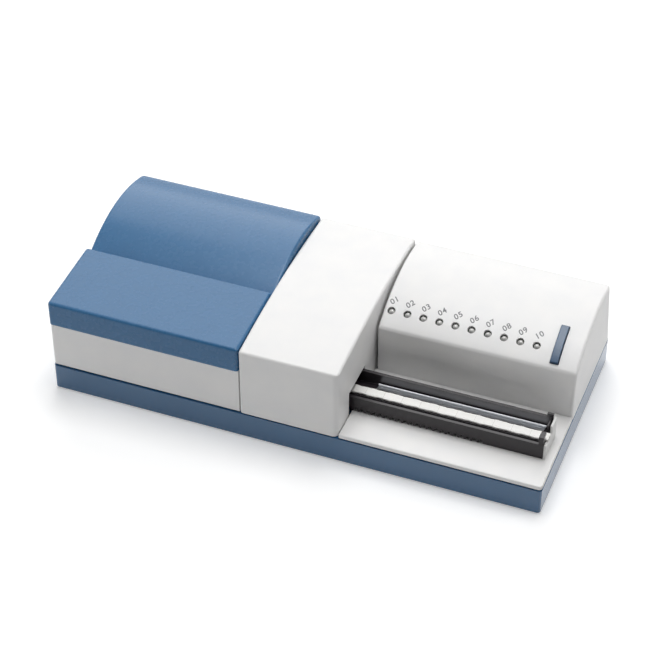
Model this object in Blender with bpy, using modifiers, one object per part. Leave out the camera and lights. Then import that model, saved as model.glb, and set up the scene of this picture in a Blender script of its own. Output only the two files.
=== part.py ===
"""Benchtop urine test strip analyzer with a strip tray on a rack, a paper printer and an indicator panel.

Metres, +X to the right along the front, +Y to the back, +Z up. The origin is on the surface that the feet
stand on, under the middle of the case.
"""

import math

import bmesh
import bpy
from mathutils import Matrix, Vector

# Case
LENGTH = 0.314
DEPTH = 0.150
FOOT_DROP = 0.0012
BASE_HEIGHT = 0.0172
BASE_FLOOR = 0.0024
BASE_WALL = 0.0035
BASE_FRONT_RADIUS = 0.0020
BASE_REAR_RADIUS = 0.0045
LIP_INSET = 0.0023
LIP_RISE = 0.0008
SEAM_GAP = 0.0011
SHELL_WALL = 0.0020
REAR_LEAN = math.radians(13.0)
REAR_TOP_INSET = 0.0010
FIT = 0.0003
OVERRUN = 0.0020
OUTLINE_STEPS = 14
ARCH_ROUNDS = 4

# Widths along the case, as shares of its length, with the gaps between the housings
PRINTER_SHARE = 0.396815
SIDE_GAP = 0.0006
READER_SHARE = 0.2
PANEL_GAP = 0.0016
DECK_THICKNESS = 0.0026
DECK_LIP_RADIUS = 0.0008
DECK_CORNER_RADIUS = 0.0022
DECK_STEP = 0.0001

# Left body, cap and paper cover
BODY_HEIGHT = 0.0316
BODY_SETBACK = 0.0008
REAR_STEP = 0.0012
REAR_STEP_DEPTH = 0.0034
CAP_FRONT_HEIGHT = 0.0167
CAP_REAR_HEIGHT = 0.0196
CAP_SHARE = 0.366667
CAP_REAR_DROP = 0.0100
CAP_RADIUS = 0.0020
COVER_FRONT_HEIGHT = 0.0116
COVER_REAR_HEIGHT = 0.0196
COVER_ARC_RADIUS = 0.092
COVER_RADIUS = 0.0018
PAPER_SLOT_MARGIN = 0.0008
PAPER_SLOT_DEPTH = 0.0044

# Cover hinge
HINGE_HEIGHT = 0.0030
HINGE_INSET = 0.0013
KNUCKLE_RADIUS = 0.0027
KNUCKLE_WIDTH = 0.0030
KNUCKLE_INSET = 0.0060
HINGE_PIN_RADIUS = 0.0010
PIN_CLEARANCE = 0.0001
KNUCKLE_CLEARANCE = 0.0006

# Reader housing
READER_FRONT_HEIGHT = 0.0478
READER_REAR_HEIGHT = 0.0507
READER_ARC_RADIUS = 0.620
READER_CORNER_RADIUS = 0.0036
READER_EDGE_SHARE = 0.45
DOOR_FRONT_MARGIN = 0.0040
DOOR_REAR_MARGIN = 0.0016
TUNNEL_MARGIN = 0.0032
TRAY_DOOR_HEIGHT = 0.0192

# Panel block
PANEL_FRONT_SHARE = 0.426667
PANEL_FRONT_HEIGHT = 0.0364
PANEL_REAR_HEIGHT = 0.0494
PANEL_ARC_RADIUS = 0.088
PANEL_CORNER_RADIUS = 0.0040
PANEL_EDGE_SHARE = 0.45
PANEL_SMALL_SHARE = 0.3

# Indicators and button
LAMP_COUNT = 10
LAMP_MARGIN = 0.0049
LAMP_END_MARGIN = 0.01056
LAMP_ROW_SHARE = 0.496
LAMP_RADIUS = 0.0021
LAMP_HOLE_RADIUS = 0.0025
LAMP_FLANGE_RADIUS = 0.0023
LAMP_FLANGE = 0.0010
LAMP_SINK = 0.0006
BUTTON_INSET = 0.0175
BUTTON_WIDTH = 0.0049
BUTTON_FRONT_SHARE = 0.448
BUTTON_REAR_SHARE = 0.598667
BUTTON_PROUD = 0.0020
BUTTON_SLOT_GAP = 0.0004
BUTTON_FLANGE = 0.0012
BUTTON_FLANGE_THICKNESS = 0.0012
BUTTON_EDGE_RADIUS = 0.0005
BUTTON_TRAVEL = 0.0010
BUTTON_STEM_RADIUS = 0.0020
PLUNGER_RADIUS = 0.0017
PLUNGER_SHOW = 0.0022
PLUNGER_SINK = 0.0014
SWITCH_SIDE = 0.0060
SWITCH_THICKNESS = 0.0032
PANEL_BOARD_DROP = 0.0150
PANEL_BOARD_MARGIN = 0.0021
PANEL_BOARD_WIDTH = 0.0300
BOARD_BOSS_SHARES = (0.05, 0.45, 0.85)
BOARD_THICKNESS = 0.0016
BOARD_POST_RADIUS = 0.0022

# Strip tray
TRAY_INNER_SHARE = 0.503185
TRAY_OUTER_SHARE = 0.978662
TRAY_FRONT_SHARE = 0.153333
TRAY_WIDTH = 0.0220
TRAY_WALL = 0.0020
TRAY_END_WALL = 0.0022
TRAY_CLEARANCE = 0.0003
TRAY_FRONT_HEIGHT = 0.0105
TRAY_REAR_HEIGHT = 0.0149
TRAY_GROOVE_FLOOR = 0.0079
TRAY_BED_SETBACK = 0.0041
TRAY_BED_WIDTH = 0.0078
TRAY_BED_HEIGHT = 0.0096
TRAY_GUTTER_SETBACK = 0.0182
TRAY_GUTTER_FLOOR = 0.0070
TRAY_RIB = 0.0020
TRAY_UNDERCUT = 0.0056
TRAY_SOLE_RISE = 0.0025
TRAY_NOTCH_SETBACK = 0.0032
TRAY_NOTCH_WIDTH = 0.0098
TRAY_TRAVEL = 0.0900
TAB_LENGTH = 0.0040
TAB_HEIGHT = 0.0026
LUG_LENGTH = 0.0031
LUG_DEPTH = 0.0038
LUG_REACH = 0.0060
LUG_RISE = 0.0056
LUG_LIP = 0.0022
END_PLATE_THICKNESS = 0.0012
STRIP_WIDTH = 0.0070
STRIP_THICKNESS = 0.0012
BEAD_RADIUS = 0.0007
LEAF_THICKNESS = 0.0004
LEAF_MARGIN = 0.0012
RETAINER_LEFT_SHARE = 0.633758
RETAINER_RIGHT_SHARE = 0.966242

# Rack, pinion and tray drive
RACK_MODULE = 0.00125
RACK_ADDENDUM_SHARE = 0.8
RACK_DEDENDUM_SHARE = 0.96
PRESSURE_ANGLE = math.radians(20.0)
RACK_LEAD_TEETH = 3
TOOTH_TRIM = 0.00018
PINION_TEETH = 14
PINION_SHARE = 0.557325
PINION_WIDTH = 0.0024
SHAFT_RADIUS = 0.0015
BORE_CLEARANCE = 0.0001
DRIVE_MOTOR_RADIUS = 0.0095
DRIVE_MOTOR_LENGTH = 0.0180
DRIVE_MOTOR_GAP = 0.0084
MOTOR_BOSS_RADIUS = 0.0040
MOTOR_BOSS_LENGTH = 0.0015
MOTOR_FLANGE = 0.0010
MOTOR_EAR = 0.0060
GUIDE_INNER_SHARE = 0.210191
GUIDE_OUTER_SHARE = 0.587580
GUIDE_WALL = 0.0016
GUIDE_FLOOR = 0.0018
GUIDE_WALL_HEIGHT = 0.0085
GUIDE_LEG = 0.0050
GUIDE_POST_DEPTH = 0.0046
GUIDE_POST_RISE = 0.0205

# Read head
HEAD_LEFT_SHARE = 0.484076
HEAD_WIDTH = 0.0220
HEAD_SETBACK = 0.0010
HEAD_DEPTH = 0.0160
HEAD_HEIGHT = 0.0180
HEAD_OVER_TRAY = 0.0020
HEAD_ARM_HEIGHT = 0.0030
HEAD_PORT_RADIUS = 0.0045
HEAD_BARREL_RADIUS = 0.0030
HEAD_PORT_DEPTH_SHARE = 0.35
LENS_THICKNESS = 0.0016
LENS_CROWN_SHARE = 0.6
LENS_RIM_SHARE = 0.9
SENSOR_BOARD_MARGIN = 0.0015

# Boards and sockets
MAIN_BOARD_LEFT_SHARE = 0.630573
MAIN_BOARD_RIGHT_SHARE = 0.955414
MAIN_BOARD_DEPTH = 0.0700
MAIN_BOARD_RISE = 0.0016
SOCKET_REAR_INSET = 0.0006
JACK_SHARE = 0.917197
JACK_WIDTH = 0.0090
JACK_HEIGHT = 0.0088
JACK_LENGTH = 0.0135
JACK_BORE_RADIUS = 0.0029
JACK_BORE_SHARE = 0.8
JACK_PIN_RADIUS = 0.0009
SERIAL_SHARE = 0.796178
SERIAL_WIDTH = 0.0308
SERIAL_HEIGHT = 0.0086
SERIAL_LENGTH = 0.0120
SERIAL_FACE_WIDTH = 0.0170
SERIAL_FACE_HEIGHT = 0.0062
SERIAL_FACE_SLANT_SHARE = 0.12
SERIAL_SOCKET_DEPTH = 0.0050
ROCKER_SHARE = 0.668790
ROCKER_BODY_WIDTH = 0.0150
ROCKER_BODY_HEIGHT = 0.0092
ROCKER_BODY_LENGTH = 0.0140
ROCKER_WELL = 0.0050
ROCKER_WALL = 0.0011
ROCKER_ANGLE = math.radians(8.0)
ROCKER_PIVOT_DEPTH = 0.0026
ROCKER_CROWN = 0.0022
ROCKER_EDGE_SHARE = 0.9
VENT_COUNT = 7
VENT_WIDTH = 0.0020
VENT_LENGTH = 0.0260
VENT_PITCH = 0.0070
VENT_SHARE = 0.713376
VENT_FRONT_SHARE = 0.133333

# Printer
PAPER_WIDTH = 0.0570
PRINTER_CENTRE_SHARE = 0.197452
CHEEK_GAP = 0.0030
CHEEK_THICKNESS = 0.0025
ROLL_RADIUS = 0.0200
ROLL_CORE_RADIUS = 0.0060
ROLL_SETBACK = 0.0356
ROLL_HEIGHT = 0.0500
BOWL_THICKNESS = 0.0018
BOWL_FRONT_ANGLE = math.radians(172.0)
BOWL_REAR_ANGLE = math.radians(352.0)
PLATEN_RADIUS = 0.0043
PLATEN_SHARE = 0.416
PLATEN_HEIGHT = 0.0520
PLATEN_SHAFT_RADIUS = 0.0015
BUSH_RADIUS = 0.0032
BUSH_FLANGE_RADIUS = 0.0042
BUSH_FLANGE = 0.0010
PRINTER_MODULE = 0.0007
PLATEN_TEETH = 20
MOTOR_TEETH = 11
GEAR_ADDENDUM_SHARE = 0.75
GEAR_DEDENDUM_SHARE = 1.0
GEAR_WIDTH = 0.0030
GEAR_GAP = 0.0012
PRINTER_MOTOR_RADIUS = 0.0060
PRINTER_MOTOR_LENGTH = 0.0140
PRINTER_MOTOR_ANGLE = math.radians(-62.0)
PRINTER_DECK = 0.0340
PRINTER_DECK_THICKNESS = 0.0020
FRAME_REACH = 0.0119
CHEEK_TOP = 0.0568
CHEEK_REACH = 0.0136
PRINTER_LEG = 0.0060
HEAD_PLATE_THICKNESS = 0.0018
HEAD_PLATE_HEIGHT = 0.0140
NIP_GAP = 0.0003
SPRING_THICKNESS = 0.0004
SPRING_BOW = 0.0016
SPRING_STEPS = 8
SPRING_HEIGHT_SHARE = 0.8
HEAD_DROP_SHARE = 0.7
BLADE_THICKNESS = 0.0005
BLADE_HEIGHT = 0.0036
BLADE_TEETH = 24
BLADE_TOOTH_SHARE = 0.3

# Screws and feet
SCREW_SHANK_RADIUS = 0.0013
SCREW_HEAD_RADIUS = 0.0028
SCREW_HEAD_HEIGHT = 0.0011
SCREW_LENGTH = 0.0095
SCREW_RECESS_RADIUS = 0.0009
SCREW_RECESS_DEPTH = 0.0006
SCREW_POINT_SHARE = 0.6
SCREW_RIM_SHARE = 0.8
SCREW_INSET = 0.0085
LEFT_SCREW_REAR = 0.0160
READER_SCREW_INSET = 0.0100
READER_SCREW_REAR = 0.0185
PANEL_SCREW_SHARE = 0.802548
PANEL_SCREW_FRONT = 0.0105
PANEL_SCREW_INSET = 0.0078
PANEL_SCREW_REAR = 0.0200
POST_RADIUS = 0.0034
POST_OVERLAP = 0.0010
FOOT_RADIUS = 0.0060
FOOT_RECESS = 0.0008
FOOT_INSET = 0.0200
FOOT_EDGE_RADIUS = 0.0004

# Heights and places that follow from the sizes above
LEFT = -LENGTH / 2
FRONT = -DEPTH / 2
REAR = DEPTH / 2
UNDERSIDE = FOOT_DROP
FLOOR_TOP = UNDERSIDE + BASE_FLOOR
BASE_TOP = UNDERSIDE + BASE_HEIGHT
HOUSING_BOTTOM = BASE_TOP + SEAM_GAP
DECK_TOP = HOUSING_BOTTOM + DECK_THICKNESS
BODY_TOP = HOUSING_BOTTOM + BODY_HEIGHT
COVER_BOTTOM = BODY_TOP + FIT
PRINTER_RIGHT = LEFT + LENGTH * PRINTER_SHARE
READER_LEFT = PRINTER_RIGHT + SIDE_GAP
READER_RIGHT = READER_LEFT + LENGTH * READER_SHARE
PANEL_LEFT = READER_RIGHT + PANEL_GAP
RIGHT = LEFT + LENGTH
TRAY_TIP = DECK_TOP + TRAY_CLEARANCE
PITCH_LINE = TRAY_TIP + RACK_MODULE * RACK_ADDENDUM_SHARE
TOOTH_ROOT = PITCH_LINE + RACK_MODULE * RACK_DEDENDUM_SHARE
SOLE = TRAY_TIP + TRAY_SOLE_RISE
PINION_RADIUS = PINION_TEETH * RACK_MODULE / 2
DRIVE_AXIS = PITCH_LINE - PINION_RADIUS
HINGE_Z = COVER_BOTTOM + HINGE_HEIGHT


def along(share):
    """A place on the case, at a share of its length from the left end."""
    return LEFT + LENGTH * share


def inward(share):
    """A place on the case, at a share of its depth from the front face."""
    return FRONT + DEPTH * share


def rear_face(z):
    """The leaning rear face of the upper housings, at height z."""
    return REAR - REAR_TOP_INSET - (z - HOUSING_BOTTOM) * math.tan(REAR_LEAN)


HINGE_Y = rear_face(HINGE_Z) - HINGE_INSET
TRAY_LEFT = along(TRAY_INNER_SHARE)
TRAY_RIGHT = along(TRAY_OUTER_SHARE)
TRAY_FRONT = inward(TRAY_FRONT_SHARE)
TRAY_REAR = TRAY_FRONT + TRAY_WIDTH
BED_FRONT = TRAY_FRONT + TRAY_BED_SETBACK
BED_REAR = BED_FRONT + TRAY_BED_WIDTH
BED_TOP = TRAY_TIP + TRAY_BED_HEIGHT
NOTCH_FRONT = TRAY_FRONT + TRAY_NOTCH_SETBACK
NOTCH_REAR = NOTCH_FRONT + TRAY_NOTCH_WIDTH
GUTTER_FRONT = TRAY_FRONT + TRAY_GUTTER_SETBACK
GUTTER_FLOOR = TRAY_TIP + TRAY_GUTTER_FLOOR
RACK_PITCH = math.pi * RACK_MODULE
RACK_TRAVEL_TEETH = math.ceil(TRAY_TRAVEL / RACK_PITCH)
BUTTON_LEFT = RIGHT - BUTTON_INSET
LAMP_FIRST = PANEL_LEFT + LAMP_MARGIN
LAMP_PITCH = (BUTTON_LEFT - LAMP_END_MARGIN - LAMP_FIRST) / (LAMP_COUNT - 1)
BOARD_LEFT = LAMP_FIRST - PANEL_BOARD_MARGIN
BOARD_RIGHT = BUTTON_LEFT + BUTTON_WIDTH + SWITCH_SIDE / 2
PRINTER_MIDDLE = along(PRINTER_CENTRE_SHARE)
CHEEK_INNER = PAPER_WIDTH / 2 + CHEEK_GAP
CHEEK_OUTER = CHEEK_INNER + CHEEK_THICKNESS
SLOT_HALF = CHEEK_OUTER + BUSH_FLANGE + GEAR_GAP + GEAR_WIDTH + PAPER_SLOT_MARGIN
SOCKET_BOTTOM = FLOOR_TOP + MAIN_BOARD_RISE + BOARD_THICKNESS + FIT


# Scene, collections and materials
for stale in list(bpy.data.objects):
    bpy.data.objects.remove(stale, do_unlink=True)

PARTS = bpy.data.collections.new("urine_analyzer")
CUTTERS = bpy.data.collections.new("cutters")
bpy.context.scene.collection.children.link(PARTS)
bpy.context.scene.collection.children.link(CUTTERS)


def make_material(name, colour, roughness, metallic=0.0, transmission=0.0):
    material = bpy.data.materials.new(name)
    material.use_nodes = True
    shader = material.node_tree.nodes["Principled BSDF"]
    shader.inputs["Base Color"].default_value = (*colour, 1.0)
    shader.inputs["Roughness"].default_value = roughness
    shader.inputs["Metallic"].default_value = metallic
    shader.inputs["Transmission Weight"].default_value = transmission
    material.diffuse_color = (*colour, 1.0)
    return material


WHITE_PLASTIC = make_material("white_plastic", (0.86, 0.86, 0.85), 0.42)
BLUE_PLASTIC = make_material("blue_plastic", (0.10, 0.22, 0.42), 0.35)
BASE_PLASTIC = make_material("base_plastic", (0.06, 0.14, 0.26), 0.38)
DARK_PLASTIC = make_material("dark_plastic", (0.04, 0.037, 0.04), 0.45)
STRIP_PLASTIC = make_material("strip_plastic", (0.92, 0.91, 0.88), 0.5)
PALE_PLASTIC = make_material("pale_plastic", (0.62, 0.62, 0.62), 0.4)
STEEL = make_material("steel", (0.62, 0.62, 0.63), 0.28, metallic=1.0)
BRASS = make_material("brass", (0.72, 0.52, 0.20), 0.3, metallic=1.0)
ALUMINIUM = make_material("aluminium", (0.70, 0.71, 0.72), 0.4, metallic=1.0)
RUBBER = make_material("rubber", (0.03, 0.03, 0.03), 0.85)
BOARD = make_material("board", (0.03, 0.20, 0.09), 0.5)
GLASS = make_material("glass", (0.90, 0.93, 0.93), 0.05, transmission=0.9)
PAPER = make_material("paper", (0.93, 0.93, 0.90), 0.8)
NYLON = make_material("nylon", (0.80, 0.79, 0.74), 0.5)

# Ways to turn a flat outline: side views stand in the YZ plane, front views in the XZ plane.
SIDE_VIEW = Matrix(((0, 0, 1), (1, 0, 0), (0, 1, 0))).to_4x4()
FRONT_VIEW = Matrix(((1, 0, 0), (0, 0, -1), (0, 1, 0))).to_4x4()
TOP_VIEW = Matrix.Identity(4)


# Shapes
def link(obj, material=None):
    if material is None:
        CUTTERS.objects.link(obj)
        obj.hide_render = True
        obj.display_type = "WIRE"
    else:
        PARTS.objects.link(obj)
        obj.data.materials.clear()
        obj.data.materials.append(material)
    return obj


def shape(name, mesh, matrix, material=None):
    obj = bpy.data.objects.new(name, mesh)
    obj.matrix_world = matrix
    return link(obj, material)


def mesh_from(name, build):
    """A mesh made by a function that fills an empty bmesh."""
    bm = bmesh.new()
    build(bm)
    bmesh.ops.recalc_face_normals(bm, faces=bm.faces)
    mesh = bpy.data.meshes.new(name)
    bm.to_mesh(mesh)
    bm.free()
    return mesh


def box(name, low, high, material=None):
    low, high = Vector(low), Vector(high)
    size = high - low

    def build(bm):
        bmesh.ops.create_cube(bm, size=1)
        bmesh.ops.scale(bm, vec=size, verts=bm.verts)

    return shape(name, mesh_from(name, build), Matrix.Translation((low + high) / 2), material)


def cylinder(name, radius, start, end, material=None, sides=32):
    """A round bar from start to end."""
    start, end = Vector(start), Vector(end)
    axis = end - start

    def build(bm):
        bmesh.ops.create_cone(bm, cap_ends=True, segments=sides, radius1=radius, radius2=radius,
                              depth=axis.length)

    turn = Vector((0, 0, 1)).rotation_difference(axis).to_matrix().to_4x4()
    obj = shape(name, mesh_from(name, build), Matrix.Translation((start + end) / 2) @ turn, material)
    return smooth(obj)


def plate(name, outline, view, low, high, material=None):
    """A flat outline, raised from low to high along the third axis of its view."""
    curve = bpy.data.curves.new(name, "CURVE")
    curve.dimensions = "2D"
    curve.fill_mode = "BOTH"
    curve.extrude = (high - low) / 2
    spline = curve.splines.new("POLY")
    spline.points.add(len(outline) - 1)
    for point, (u, v) in zip(spline.points, outline):
        point.co = (u, v, 0, 1)
    spline.use_cyclic_u = True
    flat = bpy.data.objects.new(name + "_outline", curve)
    CUTTERS.objects.link(flat)
    bpy.context.view_layer.update()
    mesh = bpy.data.meshes.new_from_object(flat.evaluated_get(bpy.context.evaluated_depsgraph_get()))
    mesh.name = name
    bpy.data.objects.remove(flat, do_unlink=True)
    bm = bmesh.new()
    bm.from_mesh(mesh)
    bmesh.ops.remove_doubles(bm, verts=bm.verts, dist=FIT / 100)
    for side in (-1, 1):
        cap = [face for face in bm.faces if all(vert.co.z * side > 0 for vert in face.verts)]
        bmesh.ops.dissolve_faces(bm, faces=cap)
    bmesh.ops.recalc_face_normals(bm, faces=bm.faces)
    bm.to_mesh(mesh)
    bm.free()
    middle = Matrix.Translation((0, 0, (low + high) / 2))
    return shape(name, mesh, view @ middle, material)


def turned(name, profile, place, axis, material=None, steps=32):
    """A profile of (radius, height) points, from the top down its outer side, turned about an axis."""
    mesh = bpy.data.meshes.new(name)
    ring = profile[0] == profile[-1]
    points = [(radius, 0, height) for radius, height in (profile[:-1] if ring else profile)]
    edges = [(i, i + 1) for i in range(len(points) - 1)]
    if ring:
        edges.append((len(points) - 1, 0))
    mesh.from_pydata(points, edges, [])
    turn = Vector((0, 0, 1)).rotation_difference(Vector(axis)).to_matrix().to_4x4()
    obj = shape(name, mesh, Matrix.Translation(place) @ turn, material)
    screw = obj.modifiers.new("turn", "SCREW")
    screw.steps = steps
    screw.render_steps = steps
    screw.use_merge_vertices = True
    screw.merge_threshold = FIT / 30
    screw.use_smooth_shade = True
    return obj


def smooth(obj, angle=math.radians(35)):
    obj.data.shade_smooth()
    obj.data.set_sharp_from_angle(angle=angle)
    return obj


def boolean(target, tools, operation, name):
    for tool in tools:
        modifier = target.modifiers.new(name, "BOOLEAN")
        modifier.operation = operation
        modifier.solver = "EXACT"
        modifier.object = tool
    return target


def cut(target, *tools):
    return boolean(target, tools, "DIFFERENCE", "cut")


def join(target, *tools):
    return boolean(target, tools, "UNION", "join")


def round_edges(obj, width, chosen, segments=3):
    """A bevel on the edges for which chosen(a, b) gives a share of the width; a and b are their ends."""
    mesh = obj.data
    weights = mesh.attributes.new("bevel_weight_edge", "FLOAT", "EDGE")
    places = [obj.matrix_world @ vertex.co for vertex in mesh.vertices]
    for edge in mesh.edges:
        first, second = edge.vertices
        weights.data[edge.index].value = chosen(places[first], places[second])
    modifier = obj.modifiers.new("rounding", "BEVEL")
    modifier.limit_method = "WEIGHT"
    modifier.width = width
    modifier.segments = segments
    modifier.use_clamp_overlap = False
    modifier.harden_normals = False
    return obj


def round_outline(width, depth, radii, steps=5):
    """A rectangle about its middle, with rounded corners: front left, front right, rear right, rear left."""
    corners = ((-1, -1, math.pi), (1, -1, -math.pi / 2), (1, 1, 0), (-1, 1, math.pi / 2))
    points = []
    for (sx, sy, start), radius in zip(corners, radii):
        cx = sx * (width / 2 - radius)
        cy = sy * (depth / 2 - radius)
        for i in range(steps + 1):
            turn = start + math.pi / 2 * i / steps
            points.append((cx + radius * math.cos(turn), cy + radius * math.sin(turn)))
    return points


def involute(angle):
    return math.tan(angle) - angle


def gear_outline(teeth, module, addendum, dedendum, rotation, flank_steps=2):
    """The outline of a spur gear about the origin, with a tooth centred at the angle rotation."""
    pitch = teeth * module / 2
    base = pitch * math.cos(PRESSURE_ANGLE)
    tip = pitch + addendum
    root = pitch - dedendum
    half = math.pi / (2 * teeth) - TOOTH_TRIM / (2 * pitch) + involute(PRESSURE_ANGLE)
    start = max(base, root)
    radii = [start + (tip - start) * i / flank_steps for i in range(flank_steps + 1)]
    flank = [(r, half - involute(math.acos(min(1, base / r)))) for r in radii]
    if root < base:
        flank.insert(0, (root, half))
    points = []
    for tooth in range(teeth):
        middle = rotation + 2 * math.pi * tooth / teeth
        for radius, offset in flank:
            points.append((middle - offset, radius))
        for radius, offset in reversed(flank):
            points.append((middle + offset, radius))
    return [(radius * math.cos(turn), radius * math.sin(turn)) for turn, radius in points]


def moved(outline, u, v):
    return [(a + u, b + v) for a, b in outline]


# Outlines of the upper housings, seen from the right: points of (y, z)
CAP_TOP_FRONT = BODY_TOP + FIT + CAP_FRONT_HEIGHT
CAP_TOP_REAR = BODY_TOP + FIT + CAP_REAR_HEIGHT
COVER_FRONT = inward(CAP_SHARE) + FIT
COVER_FRONT_TOP = COVER_BOTTOM + COVER_FRONT_HEIGHT
COVER_REAR_TOP = COVER_BOTTOM + COVER_REAR_HEIGHT
BODY_FRONT = FRONT + BODY_SETBACK
READER_FRONT_TOP = HOUSING_BOTTOM + READER_FRONT_HEIGHT
READER_REAR_TOP = HOUSING_BOTTOM + READER_REAR_HEIGHT
PANEL_FACE = inward(PANEL_FRONT_SHARE)
PANEL_FRONT_TOP = HOUSING_BOTTOM + PANEL_FRONT_HEIGHT
PANEL_REAR_TOP = HOUSING_BOTTOM + PANEL_REAR_HEIGHT
STEP_FRONT = HINGE_Y - REAR_STEP_DEPTH / 2
STEP_TOP = BODY_TOP + REAR_STEP


def arch_centre(front, front_top, rear_top, radius):
    """Centre of the arc over a housing, from the top of its front to the top of its leaning rear."""
    start = Vector((front, front_top))
    end = Vector((rear_face(rear_top), rear_top))
    chord = end - start
    normal = Vector((-chord.y, chord.x)).normalized()
    return (start + end) / 2 - normal * math.sqrt(radius * radius - chord.length_squared / 4)


def arch(front, front_top, rear_top, radius, inset=0.0):
    """Points of a housing's arched top from rear to front, sunk by an inset."""
    centre = arch_centre(front, front_top, rear_top, radius)
    reach = radius - inset
    end_z = rear_top - inset
    for _ in range(ARCH_ROUNDS):
        end_y = rear_face(end_z) - inset / math.cos(REAR_LEAN)
        end_z = centre.y + math.sqrt(reach * reach - (end_y - centre.x) ** 2)
    first = math.acos((end_y - centre.x) / reach)
    last = math.acos((front + inset - centre.x) / reach)
    turns = [first + (last - first) * i / OUTLINE_STEPS for i in range(OUTLINE_STEPS + 1)]
    return [(centre.x + reach * math.cos(t), centre.y + reach * math.sin(t)) for t in turns]


def block_outline(front, bottom, front_top, rear_top, radius, inset=0.0):
    """A housing's side view: flat bottom, arched top and leaning rear, drawn inset by a wall."""
    return [
        (front + inset, bottom),
        (rear_face(bottom) - inset / math.cos(REAR_LEAN), bottom),
        *arch(front, front_top, rear_top, radius, inset),
    ]


def panel_surface(y):
    """Height and slope angle of the panel's arched top at y."""
    centre = arch_centre(PANEL_FACE, PANEL_FRONT_TOP, PANEL_REAR_TOP, PANEL_ARC_RADIUS)
    slope = math.asin((centre.x - y) / PANEL_ARC_RADIUS)
    return centre.y + PANEL_ARC_RADIUS * math.cos(slope), slope


# Screw posts: the place of each, and the height that it hangs from
POSTS = {
    "screw_left_front": (LEFT + SCREW_INSET, FRONT + SCREW_INSET),
    "screw_left_rear": (LEFT + SCREW_INSET, REAR - LEFT_SCREW_REAR),
    "screw_reader_front": (READER_LEFT + READER_SCREW_INSET, FRONT + SCREW_INSET),
    "screw_reader_rear": (READER_RIGHT - READER_SCREW_INSET, REAR - READER_SCREW_REAR),
    "screw_panel_front": (along(PANEL_SCREW_SHARE), FRONT + PANEL_SCREW_FRONT),
    "screw_panel_rear": (RIGHT - PANEL_SCREW_INSET, REAR - PANEL_SCREW_REAR),
}
POST_TOP = {
    "screw_left_front": BODY_TOP - POST_OVERLAP,
    "screw_left_rear": BODY_TOP - POST_OVERLAP,
    "screw_reader_front": READER_FRONT_TOP - SHELL_WALL / 2,
    "screw_reader_rear": READER_REAR_TOP - SHELL_WALL / 2,
    "screw_panel_front": HOUSING_BOTTOM + DECK_THICKNESS / 2,
    "screw_panel_rear": panel_surface(POSTS["screw_panel_rear"][1])[0] - SHELL_WALL / 2,
}
POST_BOTTOM = FLOOR_TOP + FIT


def add_posts(housing, names):
    """Hollow-footed posts that hang from a housing and take its screws."""
    for name in names:
        place = Vector((*POSTS[name], 0))
        post = cylinder(name + "_post", POST_RADIUS, place + Vector((0, 0, POST_BOTTOM)),
                        place + Vector((0, 0, POST_TOP[name])), sides=20)
        join(housing, post)
        if POST_TOP[name] < BODY_TOP and POST_TOP[name] > DECK_TOP:
            rib_half = SHELL_WALL / 2
            join(housing, box(name + "_rib", (LEFT + rib_half, place.y - rib_half, HOUSING_BOTTOM + FIT),
                              (place.x, place.y + rib_half, POST_TOP[name] - POST_OVERLAP)))
        bottom = Vector((0, 0, POST_BOTTOM - OVERRUN))
        top = Vector((0, 0, POST_BOTTOM + SCREW_LENGTH))
        pilot_radius = SCREW_SHANK_RADIUS + BORE_CLEARANCE
        cut(housing, cylinder(name + "_pilot", pilot_radius, place + bottom, place + top, sides=16))
    return housing


def screws():
    head_bottom = UNDERSIDE + FIT
    for name, (x, y) in POSTS.items():
        top = SCREW_LENGTH
        profile = [
            (0, top),
            (SCREW_SHANK_RADIUS * SCREW_POINT_SHARE, top),
            (SCREW_SHANK_RADIUS, top - SCREW_SHANK_RADIUS),
            (SCREW_SHANK_RADIUS, SCREW_HEAD_HEIGHT),
            (SCREW_HEAD_RADIUS, SCREW_HEAD_HEIGHT),
            (SCREW_HEAD_RADIUS, SCREW_HEAD_HEIGHT / 2),
            (SCREW_HEAD_RADIUS * SCREW_RIM_SHARE, 0),
            (SCREW_RECESS_RADIUS, 0),
            (SCREW_RECESS_RADIUS, SCREW_RECESS_DEPTH),
            (0, SCREW_RECESS_DEPTH),
        ]
        turned(name, profile, (x, y, head_bottom), (0, 0, 1), STEEL, steps=12)


def feet():
    top = UNDERSIDE + FOOT_RECESS - FIT
    for end, sx in (("left", -1), ("right", 1)):
        for side, sy in (("front", -1), ("rear", 1)):
            place = (sx * (LENGTH / 2 - FOOT_INSET), sy * (DEPTH / 2 - FOOT_INSET), 0)
            profile = [
                (0, top),
                (FOOT_RADIUS, top),
                (FOOT_RADIUS, FOOT_EDGE_RADIUS),
                (FOOT_RADIUS - FOOT_EDGE_RADIUS, 0),
                (0, 0),
            ]
            turned("foot_" + side + "_" + end, profile, place, (0, 0, 1), RUBBER, steps=20)


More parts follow.
